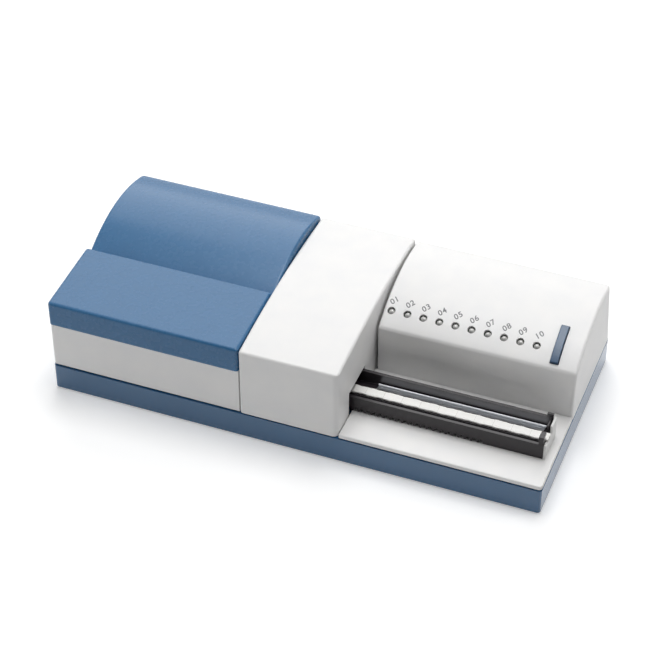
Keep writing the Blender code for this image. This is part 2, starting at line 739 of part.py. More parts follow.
def base_tray():
    """The open blue tray under the whole case, with its lip, floor vents, foot pockets and rear cut-outs."""
    radii = (BASE_FRONT_RADIUS, BASE_FRONT_RADIUS, BASE_REAR_RADIUS, BASE_REAR_RADIUS)
    outside = round_outline(LENGTH, DEPTH, radii)
    base = plate("base_tray", outside, TOP_VIEW, UNDERSIDE, BASE_TOP, BASE_PLASTIC)

    def inset_block(name, inset, low, high):
        inner = [max(radius - inset, FIT) for radius in radii]
        outline = round_outline(LENGTH - 2 * inset, DEPTH - 2 * inset, inner, steps=3)
        return plate(name, outline, TOP_VIEW, low, high)

    join(base, inset_block("base_lip", LIP_INSET, FLOOR_TOP, BASE_TOP + LIP_RISE))
    cut(base, inset_block("base_pocket", BASE_WALL, FLOOR_TOP, BASE_TOP + OVERRUN))
    for sx in (-1, 1):
        for sy in (-1, 1):
            place = Vector((sx * (LENGTH / 2 - FOOT_INSET), sy * (DEPTH / 2 - FOOT_INSET), UNDERSIDE))
            pocket = cylinder("foot_pocket", FOOT_RADIUS + FIT, place - Vector((0, 0, OVERRUN)),
                              place + Vector((0, 0, FOOT_RECESS)), sides=20)
            cut(base, pocket)
    for x, y in POSTS.values():
        place = Vector((x, y, UNDERSIDE))
        below = place - Vector((0, 0, OVERRUN))
        bore = SCREW_SHANK_RADIUS + BORE_CLEARANCE
        through = place + Vector((0, 0, BASE_FLOOR + OVERRUN))
        cut(base, cylinder("screw_hole", bore, below, through, sides=16))
        cut(base, cylinder("screw_counterbore", SCREW_HEAD_RADIUS + FIT, below,
                           place + Vector((0, 0, SCREW_HEAD_HEIGHT + 2 * FIT)), sides=16))
    for i in range(VENT_COUNT):
        x = along(VENT_SHARE) + i * VENT_PITCH
        y = inward(VENT_FRONT_SHARE)
        high = (x + VENT_WIDTH, y + VENT_LENGTH, FLOOR_TOP + OVERRUN)
        cut(base, box("vent", (x, y, UNDERSIDE - OVERRUN), high))
    for place, width, height in (
        (JACK_SHARE, JACK_WIDTH, JACK_HEIGHT),
        (SERIAL_SHARE, SERIAL_WIDTH, SERIAL_HEIGHT),
        (ROCKER_SHARE, ROCKER_BODY_WIDTH, ROCKER_BODY_HEIGHT),
    ):
        low = (along(place) - width / 2 - FIT, REAR - BASE_WALL - OVERRUN, SOCKET_BOTTOM - FIT)
        high = (along(place) + width / 2 + FIT, REAR + OVERRUN, SOCKET_BOTTOM + height + FIT)
        cut(base, box("rear_opening", low, high))
    return base


def tunnel(name, low_x, high_x, rear_margin):
    """The way of the strip tray through a housing wall."""
    return box(name, (low_x, TRAY_FRONT - DOOR_FRONT_MARGIN, HOUSING_BOTTOM - OVERRUN),
               (high_x, TRAY_REAR + rear_margin, HOUSING_BOTTOM + TRAY_DOOR_HEIGHT))


def knuckle_places():
    """Left ends of the cover's two knuckles and, beside each towards the middle, of the body's."""
    near = LEFT + KNUCKLE_INSET
    far = PRINTER_RIGHT - KNUCKLE_INSET - KNUCKLE_WIDTH
    step = KNUCKLE_WIDTH + KNUCKLE_CLEARANCE
    return ((near, near + step), (far, far - step))


def left_body():
    """The white box under the blue covers, open at the top, with the hinge knuckles on its rear wall."""
    outline = [
        (BODY_FRONT, HOUSING_BOTTOM),
        (rear_face(HOUSING_BOTTOM), HOUSING_BOTTOM),
        (rear_face(STEP_TOP), STEP_TOP),
        (STEP_FRONT, STEP_TOP),
        (STEP_FRONT, BODY_TOP),
        (BODY_FRONT, BODY_TOP),
    ]
    body = plate("left_body", outline, SIDE_VIEW, LEFT, PRINTER_RIGHT, WHITE_PLASTIC)
    lean = SHELL_WALL / math.cos(REAR_LEAN)
    hollow = [
        (BODY_FRONT + SHELL_WALL, HOUSING_BOTTOM - OVERRUN),
        (rear_face(HOUSING_BOTTOM - OVERRUN) - lean, HOUSING_BOTTOM - OVERRUN),
        (rear_face(STEP_TOP + OVERRUN) - lean, STEP_TOP + OVERRUN),
        (BODY_FRONT + SHELL_WALL, STEP_TOP + OVERRUN),
    ]
    round_edges(body, BASE_FRONT_RADIUS, lambda a, b: upright(a, b) and min(a.x, b.x) < LEFT + FIT)
    cut(body, plate("left_body_hollow", hollow, SIDE_VIEW, LEFT + SHELL_WALL, PRINTER_RIGHT - SHELL_WALL))
    wall = PRINTER_RIGHT - SHELL_WALL
    cut(body, tunnel("left_body_tunnel", wall - OVERRUN, PRINTER_RIGHT + OVERRUN, TUNNEL_MARGIN))
    add_posts(body, ("screw_left_front", "screw_left_rear"))
    for moving, fixed in knuckle_places():
        notch_low = (moving - KNUCKLE_CLEARANCE, HINGE_Y - KNUCKLE_RADIUS - KNUCKLE_CLEARANCE,
                     HINGE_Z - KNUCKLE_RADIUS - KNUCKLE_CLEARANCE)
        notch_high = (moving + KNUCKLE_WIDTH + KNUCKLE_CLEARANCE, REAR, STEP_TOP + OVERRUN)
        cut(body, box("knuckle_notch", notch_low, notch_high))
        start = Vector((fixed, HINGE_Y, HINGE_Z))
        end = start + Vector((KNUCKLE_WIDTH, 0, 0))
        web_low = (fixed, HINGE_Y - KNUCKLE_RADIUS, BODY_TOP - 2 * KNUCKLE_RADIUS)
        web_high = (fixed + KNUCKLE_WIDTH, rear_face(BODY_TOP) - REAR_TOP_INSET, HINGE_Z)
        join(body, box("knuckle_web", web_low, web_high))
        join(body, cylinder("knuckle", KNUCKLE_RADIUS, start, end, sides=20))
    cut(body, *hinge_bores())
    return body


def pin_ends(moving, fixed, margin=0.0):
    """Both ends of one hinge pin along X, or of its bore when a margin is given."""
    low = min(moving, fixed) - KNUCKLE_CLEARANCE / 2 - margin
    high = max(moving, fixed) + KNUCKLE_WIDTH + KNUCKLE_CLEARANCE / 2 + margin
    return (low, HINGE_Y, HINGE_Z), (high, HINGE_Y, HINGE_Z)


def hinge_bores():
    radius = HINGE_PIN_RADIUS + PIN_CLEARANCE
    return [cylinder("hinge_bore", radius, *pin_ends(moving, fixed, PIN_CLEARANCE), sides=16)
            for moving, fixed in knuckle_places()]


def upright(a, b):
    steep = abs(a.z - b.z) > abs(a.y - b.y) + OVERRUN
    return 1.0 if steep and abs(a.x - b.x) < FIT else 0.0


def hinge_pins():
    for side, (moving, fixed) in zip(("left", "right"), knuckle_places()):
        cylinder("hinge_pin_" + side, HINGE_PIN_RADIUS, *pin_ends(moving, fixed), STEEL, sides=16)


def printer_cap():
    """The fixed blue cap over the front of the printer."""
    rear = inward(CAP_SHARE)
    outline = [(FRONT, COVER_BOTTOM), (rear, COVER_BOTTOM), (rear, CAP_TOP_REAR), (FRONT, CAP_TOP_FRONT)]
    cap = plate("printer_cap", outline, SIDE_VIEW, LEFT, PRINTER_RIGHT, BLUE_PLASTIC)

    def chosen(a, b):
        if max(a.z, b.z) < COVER_BOTTOM + FIT:
            return 0.0
        return 1.0 if min(a.z, b.z) > COVER_BOTTOM + FIT else upright(a, b)

    round_edges(cap, CAP_RADIUS, chosen)
    inner = [
        (FRONT + SHELL_WALL, COVER_BOTTOM - OVERRUN),
        (rear - SHELL_WALL, COVER_BOTTOM - OVERRUN),
        (rear - SHELL_WALL, CAP_TOP_REAR - SHELL_WALL),
        (FRONT + SHELL_WALL, CAP_TOP_FRONT - SHELL_WALL),
    ]
    cut(cap, plate("cap_hollow", inner, SIDE_VIEW, LEFT + SHELL_WALL, PRINTER_RIGHT - SHELL_WALL))
    low = (PRINTER_MIDDLE - SLOT_HALF, rear - SHELL_WALL - OVERRUN, COVER_BOTTOM - OVERRUN)
    high = (PRINTER_MIDDLE + SLOT_HALF, rear + OVERRUN, CAP_TOP_REAR - CAP_REAR_DROP)
    cut(cap, box("cap_rear_opening", low, high))
    return smooth(cap)


def paper_cover():
    """The curved blue cover over the paper roll. Its origin is on the hinge axis."""
    rear_bottom = STEP_TOP + REAR_STEP
    outline = [
        (COVER_FRONT, COVER_BOTTOM),
        (STEP_FRONT - FIT, COVER_BOTTOM),
        (STEP_FRONT - FIT, rear_bottom),
        (rear_face(rear_bottom), rear_bottom),
        *arch(COVER_FRONT, COVER_FRONT_TOP, COVER_REAR_TOP, COVER_ARC_RADIUS),
    ]
    cover = plate("paper_cover", outline, SIDE_VIEW, LEFT, PRINTER_RIGHT, BLUE_PLASTIC)
    round_edges(cover, COVER_RADIUS, lambda a, b: cover_edge(a, b))
    lean = SHELL_WALL / math.cos(REAR_LEAN)
    inner = [
        (COVER_FRONT + SHELL_WALL, COVER_BOTTOM - OVERRUN),
        (rear_face(COVER_BOTTOM - OVERRUN) - lean, COVER_BOTTOM - OVERRUN),
        *arch(COVER_FRONT, COVER_FRONT_TOP, COVER_REAR_TOP, COVER_ARC_RADIUS, SHELL_WALL),
    ]
    cut(cover, plate("cover_hollow", inner, SIDE_VIEW, LEFT + SHELL_WALL, PRINTER_RIGHT - SHELL_WALL))
    low = (PRINTER_MIDDLE - SLOT_HALF, COVER_FRONT - OVERRUN, COVER_BOTTOM - OVERRUN)
    high = (PRINTER_MIDDLE + SLOT_HALF, COVER_FRONT + PAPER_SLOT_DEPTH, CAP_TOP_REAR)
    cut(cover, box("paper_slot", low, high))
    for moving, fixed in knuckle_places():
        side = KNUCKLE_CLEARANCE / 2
        reach = KNUCKLE_RADIUS + KNUCKLE_CLEARANCE
        notch_low = (fixed - side, HINGE_Y - reach, COVER_BOTTOM)
        notch_high = (fixed + KNUCKLE_WIDTH + side, REAR, HINGE_Z + reach)
        cut(cover, box("cover_notch", notch_low, notch_high))
        start = Vector((moving, HINGE_Y, HINGE_Z))
        end = start + Vector((KNUCKLE_WIDTH, 0, 0))
        join(cover, cylinder("cover_knuckle", KNUCKLE_RADIUS, start, end, sides=20))
    cut(cover, *hinge_bores())
    set_origin(cover, (0, HINGE_Y, HINGE_Z))
    return smooth(cover)


def cover_edge(a, b):
    """The cover's rounded edges: its two long sides, its rear top edge and its upright rear corners."""
    if max(a.z, b.z) < COVER_FRONT_TOP - FIT:
        return 0.0
    if abs(a.x - b.x) < FIT:
        return 1.0 if max(a.y, b.y) > COVER_FRONT + FIT else 0.0
    return 1.0 if a.y > rear_face(COVER_REAR_TOP) - FIT else 0.0


def set_origin(obj, place):
    """Moves an object's origin to a world place, with its shape left where it is."""
    shift = obj.matrix_world.inverted() @ Vector(place)
    obj.data.transform(Matrix.Translation(-shift))
    obj.matrix_world = obj.matrix_world @ Matrix.Translation(shift)


def reader_housing():
    """The white middle housing over the read head, with the tray's way through both sides."""
    outline = block_outline(FRONT, HOUSING_BOTTOM, READER_FRONT_TOP, READER_REAR_TOP, READER_ARC_RADIUS)
    housing = plate("reader_housing", outline, SIDE_VIEW, READER_LEFT, READER_RIGHT, WHITE_PLASTIC)

    def chosen(a, b):
        if max(a.z, b.z) < HOUSING_BOTTOM + FIT:
            return 0.0
        if upright(a, b) and min(a.y, b.y) < FRONT + FIT and a.x > READER_RIGHT - FIT:
            return 1.0
        return READER_EDGE_SHARE

    def sharp(a, b):
        lengthwise = abs(a.x - b.x) > OVERRUN
        ridge = lengthwise and FRONT + FIT < a.y < rear_face(READER_REAR_TOP) - FIT
        return 0.0 if ridge else chosen(a, b)

    round_edges(housing, READER_CORNER_RADIUS, sharp)
    inner = block_outline(FRONT, HOUSING_BOTTOM - OVERRUN, READER_FRONT_TOP, READER_REAR_TOP,
                          READER_ARC_RADIUS, SHELL_WALL)
    hollow_left = READER_LEFT + SHELL_WALL
    cut(housing, plate("reader_hollow", inner, SIDE_VIEW, hollow_left, READER_RIGHT - SHELL_WALL))
    middle = (READER_LEFT + READER_RIGHT) / 2
    cut(housing, tunnel("reader_tunnel", READER_LEFT - OVERRUN, middle, TUNNEL_MARGIN))
    cut(housing, tunnel("tray_door", middle, READER_RIGHT + OVERRUN, DOOR_REAR_MARGIN))
    add_posts(housing, ("screw_reader_front", "screw_reader_rear"))
    return smooth(housing)


def panel_housing():
    """The white right block with its indicator holes and button slot, in one piece with the front deck."""
    outline = block_outline(PANEL_FACE, HOUSING_BOTTOM, PANEL_FRONT_TOP, PANEL_REAR_TOP, PANEL_ARC_RADIUS)
    housing = plate("panel_housing", outline, SIDE_VIEW, PANEL_LEFT, RIGHT, WHITE_PLASTIC)

    def chosen(a, b):
        if max(a.z, b.z) < HOUSING_BOTTOM + FIT:
            return 0.0
        lengthwise = abs(a.x - b.x) > OVERRUN
        if lengthwise and PANEL_FACE + FIT < a.y < rear_face(PANEL_REAR_TOP) - FIT:
            return 0.0
        if upright(a, b):
            if a.x < PANEL_LEFT + FIT:
                return PANEL_SMALL_SHARE
            return 1.0 if min(a.y, b.y) > PANEL_FACE + FIT else PANEL_EDGE_SHARE
        return PANEL_EDGE_SHARE

    round_edges(housing, PANEL_CORNER_RADIUS, chosen)
    deck_left = READER_RIGHT + FIT
    deck_right = RIGHT - DECK_STEP
    deck_depth = PANEL_FACE - FRONT + SHELL_WALL / 2
    small = DECK_CORNER_RADIUS / 2
    radii = (small, DECK_CORNER_RADIUS, small, small)
    deck_outline = moved(round_outline(deck_right - deck_left, deck_depth, radii),
                         (deck_left + deck_right) / 2, FRONT + deck_depth / 2)
    deck = plate("deck", deck_outline, TOP_VIEW, HOUSING_BOTTOM + DECK_STEP, DECK_TOP)
    round_edges(deck, DECK_LIP_RADIUS, deck_lip, segments=2)
    inner = block_outline(PANEL_FACE, HOUSING_BOTTOM - OVERRUN, PANEL_FRONT_TOP, PANEL_REAR_TOP,
                          PANEL_ARC_RADIUS, SHELL_WALL)
    cut(housing, plate("panel_hollow", inner, SIDE_VIEW, PANEL_LEFT + SHELL_WALL, RIGHT - SHELL_WALL))
    for x in lamp_places():
        height, slope = panel_surface(inward(LAMP_ROW_SHARE))
        outward = Vector((0, -math.sin(slope), math.cos(slope)))
        place = Vector((x, inward(LAMP_ROW_SHARE), height))
        cut(housing, cylinder("lamp_hole", LAMP_HOLE_RADIUS, place - outward * (SHELL_WALL + OVERRUN),
                              place + outward * OVERRUN, sides=16))
    cut(housing, button_body("button_slot", BUTTON_SLOT_GAP, OVERRUN, None))
    front, rear, up_slope, outward = button_frame()
    middle = (front + rear) / 2 + up_slope * (PANEL_BOARD_WIDTH / 2 - 2 * BOARD_POST_RADIUS)
    for share in BOARD_BOSS_SHARES:
        foot = middle + outward * (FIT - PANEL_BOARD_DROP)
        foot.x = BOARD_LEFT + (BOARD_RIGHT - BOARD_LEFT) * share
        top = foot + outward * (PANEL_BOARD_DROP - SHELL_WALL / 2)
        join(housing, cylinder("board_boss", BOARD_POST_RADIUS, foot, top, sides=16))
    add_posts(housing, ("screw_panel_rear",))
    join(housing, add_posts(deck, ("screw_panel_front",)))
    return smooth(housing)


def deck_lip(a, b):
    return 1.0 if min(a.z, b.z) > DECK_TOP - FIT else 0.0


def lamp_places():
    return [LAMP_FIRST + i * LAMP_PITCH for i in range(LAMP_COUNT)]


def button_frame():
    """The button's front and rear ends on the panel, its direction up the slope and its outward one."""
    front_y = inward(BUTTON_FRONT_SHARE)
    rear_y = inward(BUTTON_REAR_SHARE)
    front = Vector((0, front_y, panel_surface(front_y)[0]))
    rear = Vector((0, rear_y, panel_surface(rear_y)[0]))
    up_slope = (rear - front).normalized()
    outward = Vector((0, -up_slope.z, up_slope.y))
    return front, rear, up_slope, outward


def button_body(name, grow, reach, material):
    """The bar of the button, or the slot for it when grown by a gap: its top follows the panel's arch."""
    front, rear, up_slope, outward = button_frame()
    length = (rear - front).length
    steps = OUTLINE_STEPS // 2
    top = []
    for i in range(steps + 1):
        y = front.y + (rear.y - front.y) * i / steps
        height, slope = panel_surface(y)
        lift = BUTTON_PROUD if material else reach
        top.append((y - lift * math.sin(slope), height + lift * math.cos(slope)))
    foot = -(SHELL_WALL + 3 * FIT) if material else -(SHELL_WALL + reach)
    low_front = front - up_slope * grow + outward * foot
    low_rear = rear + up_slope * grow + outward * foot
    top[0] = (top[0][0] - up_slope.y * grow, top[0][1] - up_slope.z * grow)
    top[-1] = (top[-1][0] + up_slope.y * grow, top[-1][1] + up_slope.z * grow)
    outline = [(low_front.y, low_front.z), (low_rear.y, low_rear.z), *reversed(top)]
    left = BUTTON_LEFT - grow
    return plate(name, outline, SIDE_VIEW, left, left + BUTTON_WIDTH + 2 * grow, material)


def slope_box(name, centre, size, up_slope, outward, material=None):
    """A box about a place, with its sides along X, up the slope and outward."""
    def build(bm):
        bmesh.ops.create_cube(bm, size=1)
        bmesh.ops.scale(bm, vec=size, verts=bm.verts)

    turn = Matrix((Vector((1, 0, 0)), up_slope, outward)).transposed().to_4x4()
    return shape(name, mesh_from(name, build), Matrix.Translation(centre) @ turn, material)


def panel_set():
    """Start button, its switch, the panel board and the indicator lamps, all square to the panel's slope."""
    front, rear, up_slope, outward = button_frame()
    length = (rear - front).length
    middle = (front + rear) / 2
    middle.x = BUTTON_LEFT + BUTTON_WIDTH / 2
    button = button_body("start_button", 0.0, 0.0, BLUE_PLASTIC)

    def chosen(a, b):
        if not (above(a) and above(b)):
            return 0.0
        across = abs(a.x - b.x) > FIT
        return 0.0 if across and abs(a.y - middle.y) < length / 3 else 1.0

    round_edges(button, BUTTON_EDGE_RADIUS, chosen, segments=2)
    flange_top = -(SHELL_WALL + 2 * FIT)
    flange_centre = middle + outward * (flange_top - BUTTON_FLANGE_THICKNESS / 2)
    grown = 2 * BUTTON_FLANGE
    flange_size = (BUTTON_WIDTH + grown, length + grown, BUTTON_FLANGE_THICKNESS)
    flange = slope_box("button_flange", flange_centre, flange_size, up_slope, outward)
    board_top = -PANEL_BOARD_DROP
    switch_top = board_top + FIT + SWITCH_THICKNESS
    stem_end = switch_top + PLUNGER_SHOW + FIT
    stem = cylinder("button_stem", BUTTON_STEM_RADIUS, middle + outward * stem_end,
                    middle + outward * (flange_top - BUTTON_FLANGE_THICKNESS / 2), sides=16)
    join(button, flange, stem)
    set_origin(button, middle)
    smooth(button)

    board_middle = Vector(((BOARD_LEFT + BOARD_RIGHT) / 2, middle.y, middle.z))
    board_centre = board_middle + outward * (board_top - BOARD_THICKNESS / 2)
    board_size = (BOARD_RIGHT - BOARD_LEFT, PANEL_BOARD_WIDTH, BOARD_THICKNESS)
    slope_box("panel_board", board_centre, board_size, up_slope, outward, BOARD)

    switch_centre = middle + outward * (switch_top - SWITCH_THICKNESS / 2)
    switch_size = (SWITCH_SIDE, SWITCH_SIDE, SWITCH_THICKNESS)
    switch = slope_box("start_switch", switch_centre, switch_size, up_slope, outward, DARK_PLASTIC)
    well_bottom = switch_top - PLUNGER_SINK - FIT - BUTTON_TRAVEL
    cut(switch, cylinder("plunger_well", PLUNGER_RADIUS + FIT, middle + outward * well_bottom,
                         middle + outward * (switch_top + OVERRUN), sides=16))
    cylinder("switch_plunger", PLUNGER_RADIUS, middle + outward * (switch_top - PLUNGER_SINK),
             middle + outward * (switch_top + PLUNGER_SHOW), PALE_PLASTIC, sides=16)

    for number, x in enumerate(lamp_places(), start=1):
        lamp(number, x, middle, up_slope, outward, board_top)


def above(point):
    """Whether a place is on or over the panel's arched surface."""
    return point.z > panel_surface(point.y)[0] - FIT


def lamp(number, x, board_point, up_slope, outward, board_top):
    """One indicator: a domed clear body with its flange, standing on the panel board."""
    height, slope = panel_surface(inward(LAMP_ROW_SHARE))
    surface = Vector((x, inward(LAMP_ROW_SHARE), height))
    axis = Vector((0, -math.sin(slope), math.cos(slope)))
    tip = surface - axis * LAMP_SINK
    board_plane = board_point + outward * (board_top + FIT)
    reach = (tip - board_plane).dot(outward) / axis.dot(outward)
    skirt = LAMP_FLANGE_RADIUS * math.tan(axis.angle(outward))
    bottom = -(reach - skirt)
    dome = [(LAMP_RADIUS * math.cos(t), -LAMP_RADIUS + LAMP_RADIUS * math.sin(t))
            for t in (math.pi / 2 * i / 4 for i in range(4, -1, -1))]
    dome[0] = (0, 0)
    profile = [
        *dome,
        (LAMP_RADIUS, bottom + LAMP_FLANGE),
        (LAMP_FLANGE_RADIUS, bottom + LAMP_FLANGE),
        (LAMP_FLANGE_RADIUS, bottom),
        (0, bottom),
    ]
    turned("lamp_%02d" % number, profile, tip, axis, GLASS, steps=12)


def strip_tray():
    """The dark trough with its rack, gutter, notch, end tab and end lug. It slides along X, to the left."""
    front = TRAY_FRONT
    rear = TRAY_REAR
    tip = TRAY_TIP
    left = TRAY_LEFT
    right = TRAY_RIGHT
    wall = rack_wall(left, right)
    tray = plate("strip_tray", wall, FRONT_VIEW, -(front + TRAY_WALL), -front, DARK_PLASTIC)
    inside = front + TRAY_WALL / 2
    section = [
        (inside, tip + TRAY_UNDERCUT),
        (rear - TRAY_WALL, tip + TRAY_UNDERCUT),
        (rear - TRAY_WALL, SOLE),
        (rear, SOLE),
        (rear, tip + TRAY_REAR_HEIGHT),
        (rear - TRAY_WALL, tip + TRAY_REAR_HEIGHT),
        (rear - TRAY_WALL, GUTTER_FLOOR),
        (GUTTER_FRONT, GUTTER_FLOOR),
        (BED_REAR, BED_TOP),
        (BED_FRONT, BED_TOP),
        (BED_FRONT, tip + TRAY_GROOVE_FLOOR),
        (inside, tip + TRAY_GROOVE_FLOOR),
    ]
    pieces = [plate("tray_trough", section, SIDE_VIEW, left + FIT, right - FIT)]
    wall_low = tip + TRAY_UNDERCUT + TRAY_RIB / 2
    wall_rear = rear - TRAY_WALL / 2
    low_top = tip + TRAY_FRONT_HEIGHT - FIT
    for name, low, high in (
        ("inner_wall", left + 2 * FIT, left + TRAY_END_WALL),
        ("outer_wall", right - TRAY_END_WALL, right - 2 * FIT),
    ):
        pieces.append(box("tray_" + name, (low, inside, wall_low), (high, wall_rear, low_top)))
    pieces.append(box("tray_high_end", (right - TRAY_END_WALL + FIT, NOTCH_REAR, wall_low + FIT),
                      (right - TRAY_RIB / 2, wall_rear + FIT, tip + TRAY_REAR_HEIGHT - FIT)))
    tab_base = tip + TRAY_REAR_HEIGHT
    pieces.append(box("tray_tab", (right - TAB_LENGTH, rear - TRAY_WALL + FIT, tab_base - TRAY_WALL),
                      (right - FIT / 2, rear - FIT, tab_base + TAB_HEIGHT)))
    join(tray, *pieces)
    cut(tray, box("tray_notch", (right - TRAY_END_WALL - OVERRUN / 2, NOTCH_FRONT, BED_TOP + FIT / 2),
                  (right + OVERRUN, NOTCH_REAR, tip + TRAY_REAR_HEIGHT + OVERRUN)))
    lug_top = tip + TRAY_FRONT_HEIGHT + LUG_RISE
    lug_left = right - LUG_LENGTH
    lug = box("tray_lug", (lug_left, front + DECK_STEP, low_top - TRAY_RIB),
              (right - FIT / 3, front + LUG_DEPTH, lug_top))
    lip = box("lug_lip", (lug_left + DECK_STEP, front + TRAY_WALL, lug_top - LUG_LIP),
              (right - FIT / 2, front + LUG_REACH, lug_top - DECK_STEP))
    join(tray, lug, lip)
    set_origin(tray, (right, rear, tip))
    return tray


def rack_wall(left, right):
    """The tray's front wall: the rack under it meshes with the pinion, and its outer end is plain."""
    start = along(PINION_SHARE)
    root = TOOTH_ROOT
    flank = math.tan(PRESSURE_ANGLE)
    half = (RACK_PITCH / 2 - TOOTH_TRIM) / 2
    at_tip = half - (PITCH_LINE - TRAY_TIP) * flank
    at_root = half + (root - PITCH_LINE) * flank
    top = TRAY_TIP + TRAY_FRONT_HEIGHT
    points = [(left, top), (left, root)]
    for tooth in range(-RACK_LEAD_TEETH, RACK_TRAVEL_TEETH + 1):
        middle = start + (tooth + 0.5) * RACK_PITCH
        points += [(middle - at_root, root), (middle - at_tip, TRAY_TIP)]
        points += [(middle + at_tip, TRAY_TIP), (middle + at_root, root)]
    plain = start + (RACK_TRAVEL_TEETH + 1.5) * RACK_PITCH
    points += [(plain - at_root, root), (plain - at_tip, TRAY_TIP), (right, TRAY_TIP), (right, top)]
    return points


def tray_parts():
    """What rides in the tray: white strip bed, pale end plate and bright retainer."""
    tip = TRAY_TIP
    bed = BED_TOP + FIT
    middle = (BED_FRONT + BED_REAR) / 2
    outer = TRAY_RIGHT + FIT + END_PLATE_THICKNESS
    box("strip_bed", (TRAY_LEFT + TRAY_END_WALL + FIT, middle - STRIP_WIDTH / 2, bed),
        (outer - FIT, middle + STRIP_WIDTH / 2, bed + STRIP_THICKNESS), STRIP_PLASTIC)
    outline = [
        (TRAY_FRONT, tip),
        (TRAY_REAR, tip),
        (TRAY_REAR, tip + TRAY_REAR_HEIGHT),
        (NOTCH_REAR, tip + TRAY_REAR_HEIGHT),
        (NOTCH_REAR, BED_TOP),
        (NOTCH_FRONT, BED_TOP),
        (NOTCH_FRONT, tip + TRAY_FRONT_HEIGHT),
        (TRAY_FRONT, tip + TRAY_FRONT_HEIGHT),
    ]
    plate("tray_end_plate", outline, SIDE_VIEW, TRAY_RIGHT + FIT, outer, PALE_PLASTIC)
    strip_retainer()


def strip_retainer():
    """The steel leaf on the slope behind the strip, with its rear edge rolled to a bead in the gutter."""
    start = Vector((BED_REAR, BED_TOP))
    end = Vector((GUTTER_FRONT, GUTTER_FLOOR))
    down = (end - start).normalized()
    up = Vector((-down.y, down.x))
    bead_y = TRAY_REAR - TRAY_WALL - BEAD_RADIUS - FIT
    low = GUTTER_FLOOR + FIT
    bead_z = low + LEAF_THICKNESS / 2 + BEAD_RADIUS
    edge = start + down * LEAF_MARGIN + up * FIT
    bend = end.x + FIT * math.tan(up.angle(Vector((0, 1))) / 2)
    leaf = [
        tuple(edge),
        (bend, low),
        (bead_y, low),
        (bead_y, low + LEAF_THICKNESS),
        (bend + FIT / 2, low + LEAF_THICKNESS),
        tuple(edge + up * LEAF_THICKNESS),
    ]
    left = along(RETAINER_LEFT_SHARE)
    right = along(RETAINER_RIGHT_SHARE)
    retainer = plate("strip_retainer", leaf, SIDE_VIEW, left, right, STEEL)
    bead = cylinder("retainer_bead", BEAD_RADIUS, (left - FIT, bead_y, bead_z), (right + FIT, bead_y, bead_z),
                    sides=12)
    join(retainer, bead)
    return smooth(retainer)


def tray_drive():
    """Pinion under the rack, its shaft and the motor behind the tray."""
    x = along(PINION_SHARE)
    front = TRAY_FRONT
    outline = gear_outline(PINION_TEETH, RACK_MODULE, RACK_MODULE * RACK_ADDENDUM_SHARE,
                           RACK_MODULE * RACK_DEDENDUM_SHARE, math.pi / 2, flank_steps=3)
    placed = moved(outline, x, DRIVE_AXIS)
    pinion = plate("drive_pinion", placed, FRONT_VIEW, -(front + PINION_WIDTH), -front, NYLON)
    set_origin(pinion, (x, front + PINION_WIDTH / 2, DRIVE_AXIS))
    motor_front = TRAY_REAR + DRIVE_MOTOR_GAP
    shaft_front = front - OVERRUN / 2
    shaft_rear = motor_front + DRIVE_MOTOR_LENGTH / 2
    cut(pinion, cylinder("pinion_bore", SHAFT_RADIUS + BORE_CLEARANCE, (x, front - OVERRUN, DRIVE_AXIS),
                         (x, front + PINION_WIDTH + OVERRUN, DRIVE_AXIS), sides=20))
    cylinder("drive_shaft", SHAFT_RADIUS, (x, shaft_front, DRIVE_AXIS), (x, shaft_rear, DRIVE_AXIS), STEEL,
             sides=20)
    motor = cylinder("tray_motor", DRIVE_MOTOR_RADIUS, (x, motor_front, DRIVE_AXIS),
                     (x, motor_front + DRIVE_MOTOR_LENGTH, DRIVE_AXIS), STEEL, sides=28)
    boss = cylinder("motor_boss", MOTOR_BOSS_RADIUS, (x, motor_front - MOTOR_BOSS_LENGTH, DRIVE_AXIS),
                    (x, motor_front + MOTOR_FLANGE, DRIVE_AXIS), sides=20)
    ears = box("motor_ears", (x - DRIVE_MOTOR_RADIUS - MOTOR_EAR, motor_front, FLOOR_TOP + FIT),
               (x + DRIVE_MOTOR_RADIUS + MOTOR_EAR, motor_front + MOTOR_FLANGE, DRIVE_AXIS))
    join(motor, boss, ears)
    cut(motor, cylinder("motor_bore", SHAFT_RADIUS + FIT, (x, motor_front - OVERRUN, DRIVE_AXIS),
                        (x, shaft_rear + FIT, DRIVE_AXIS), sides=20))


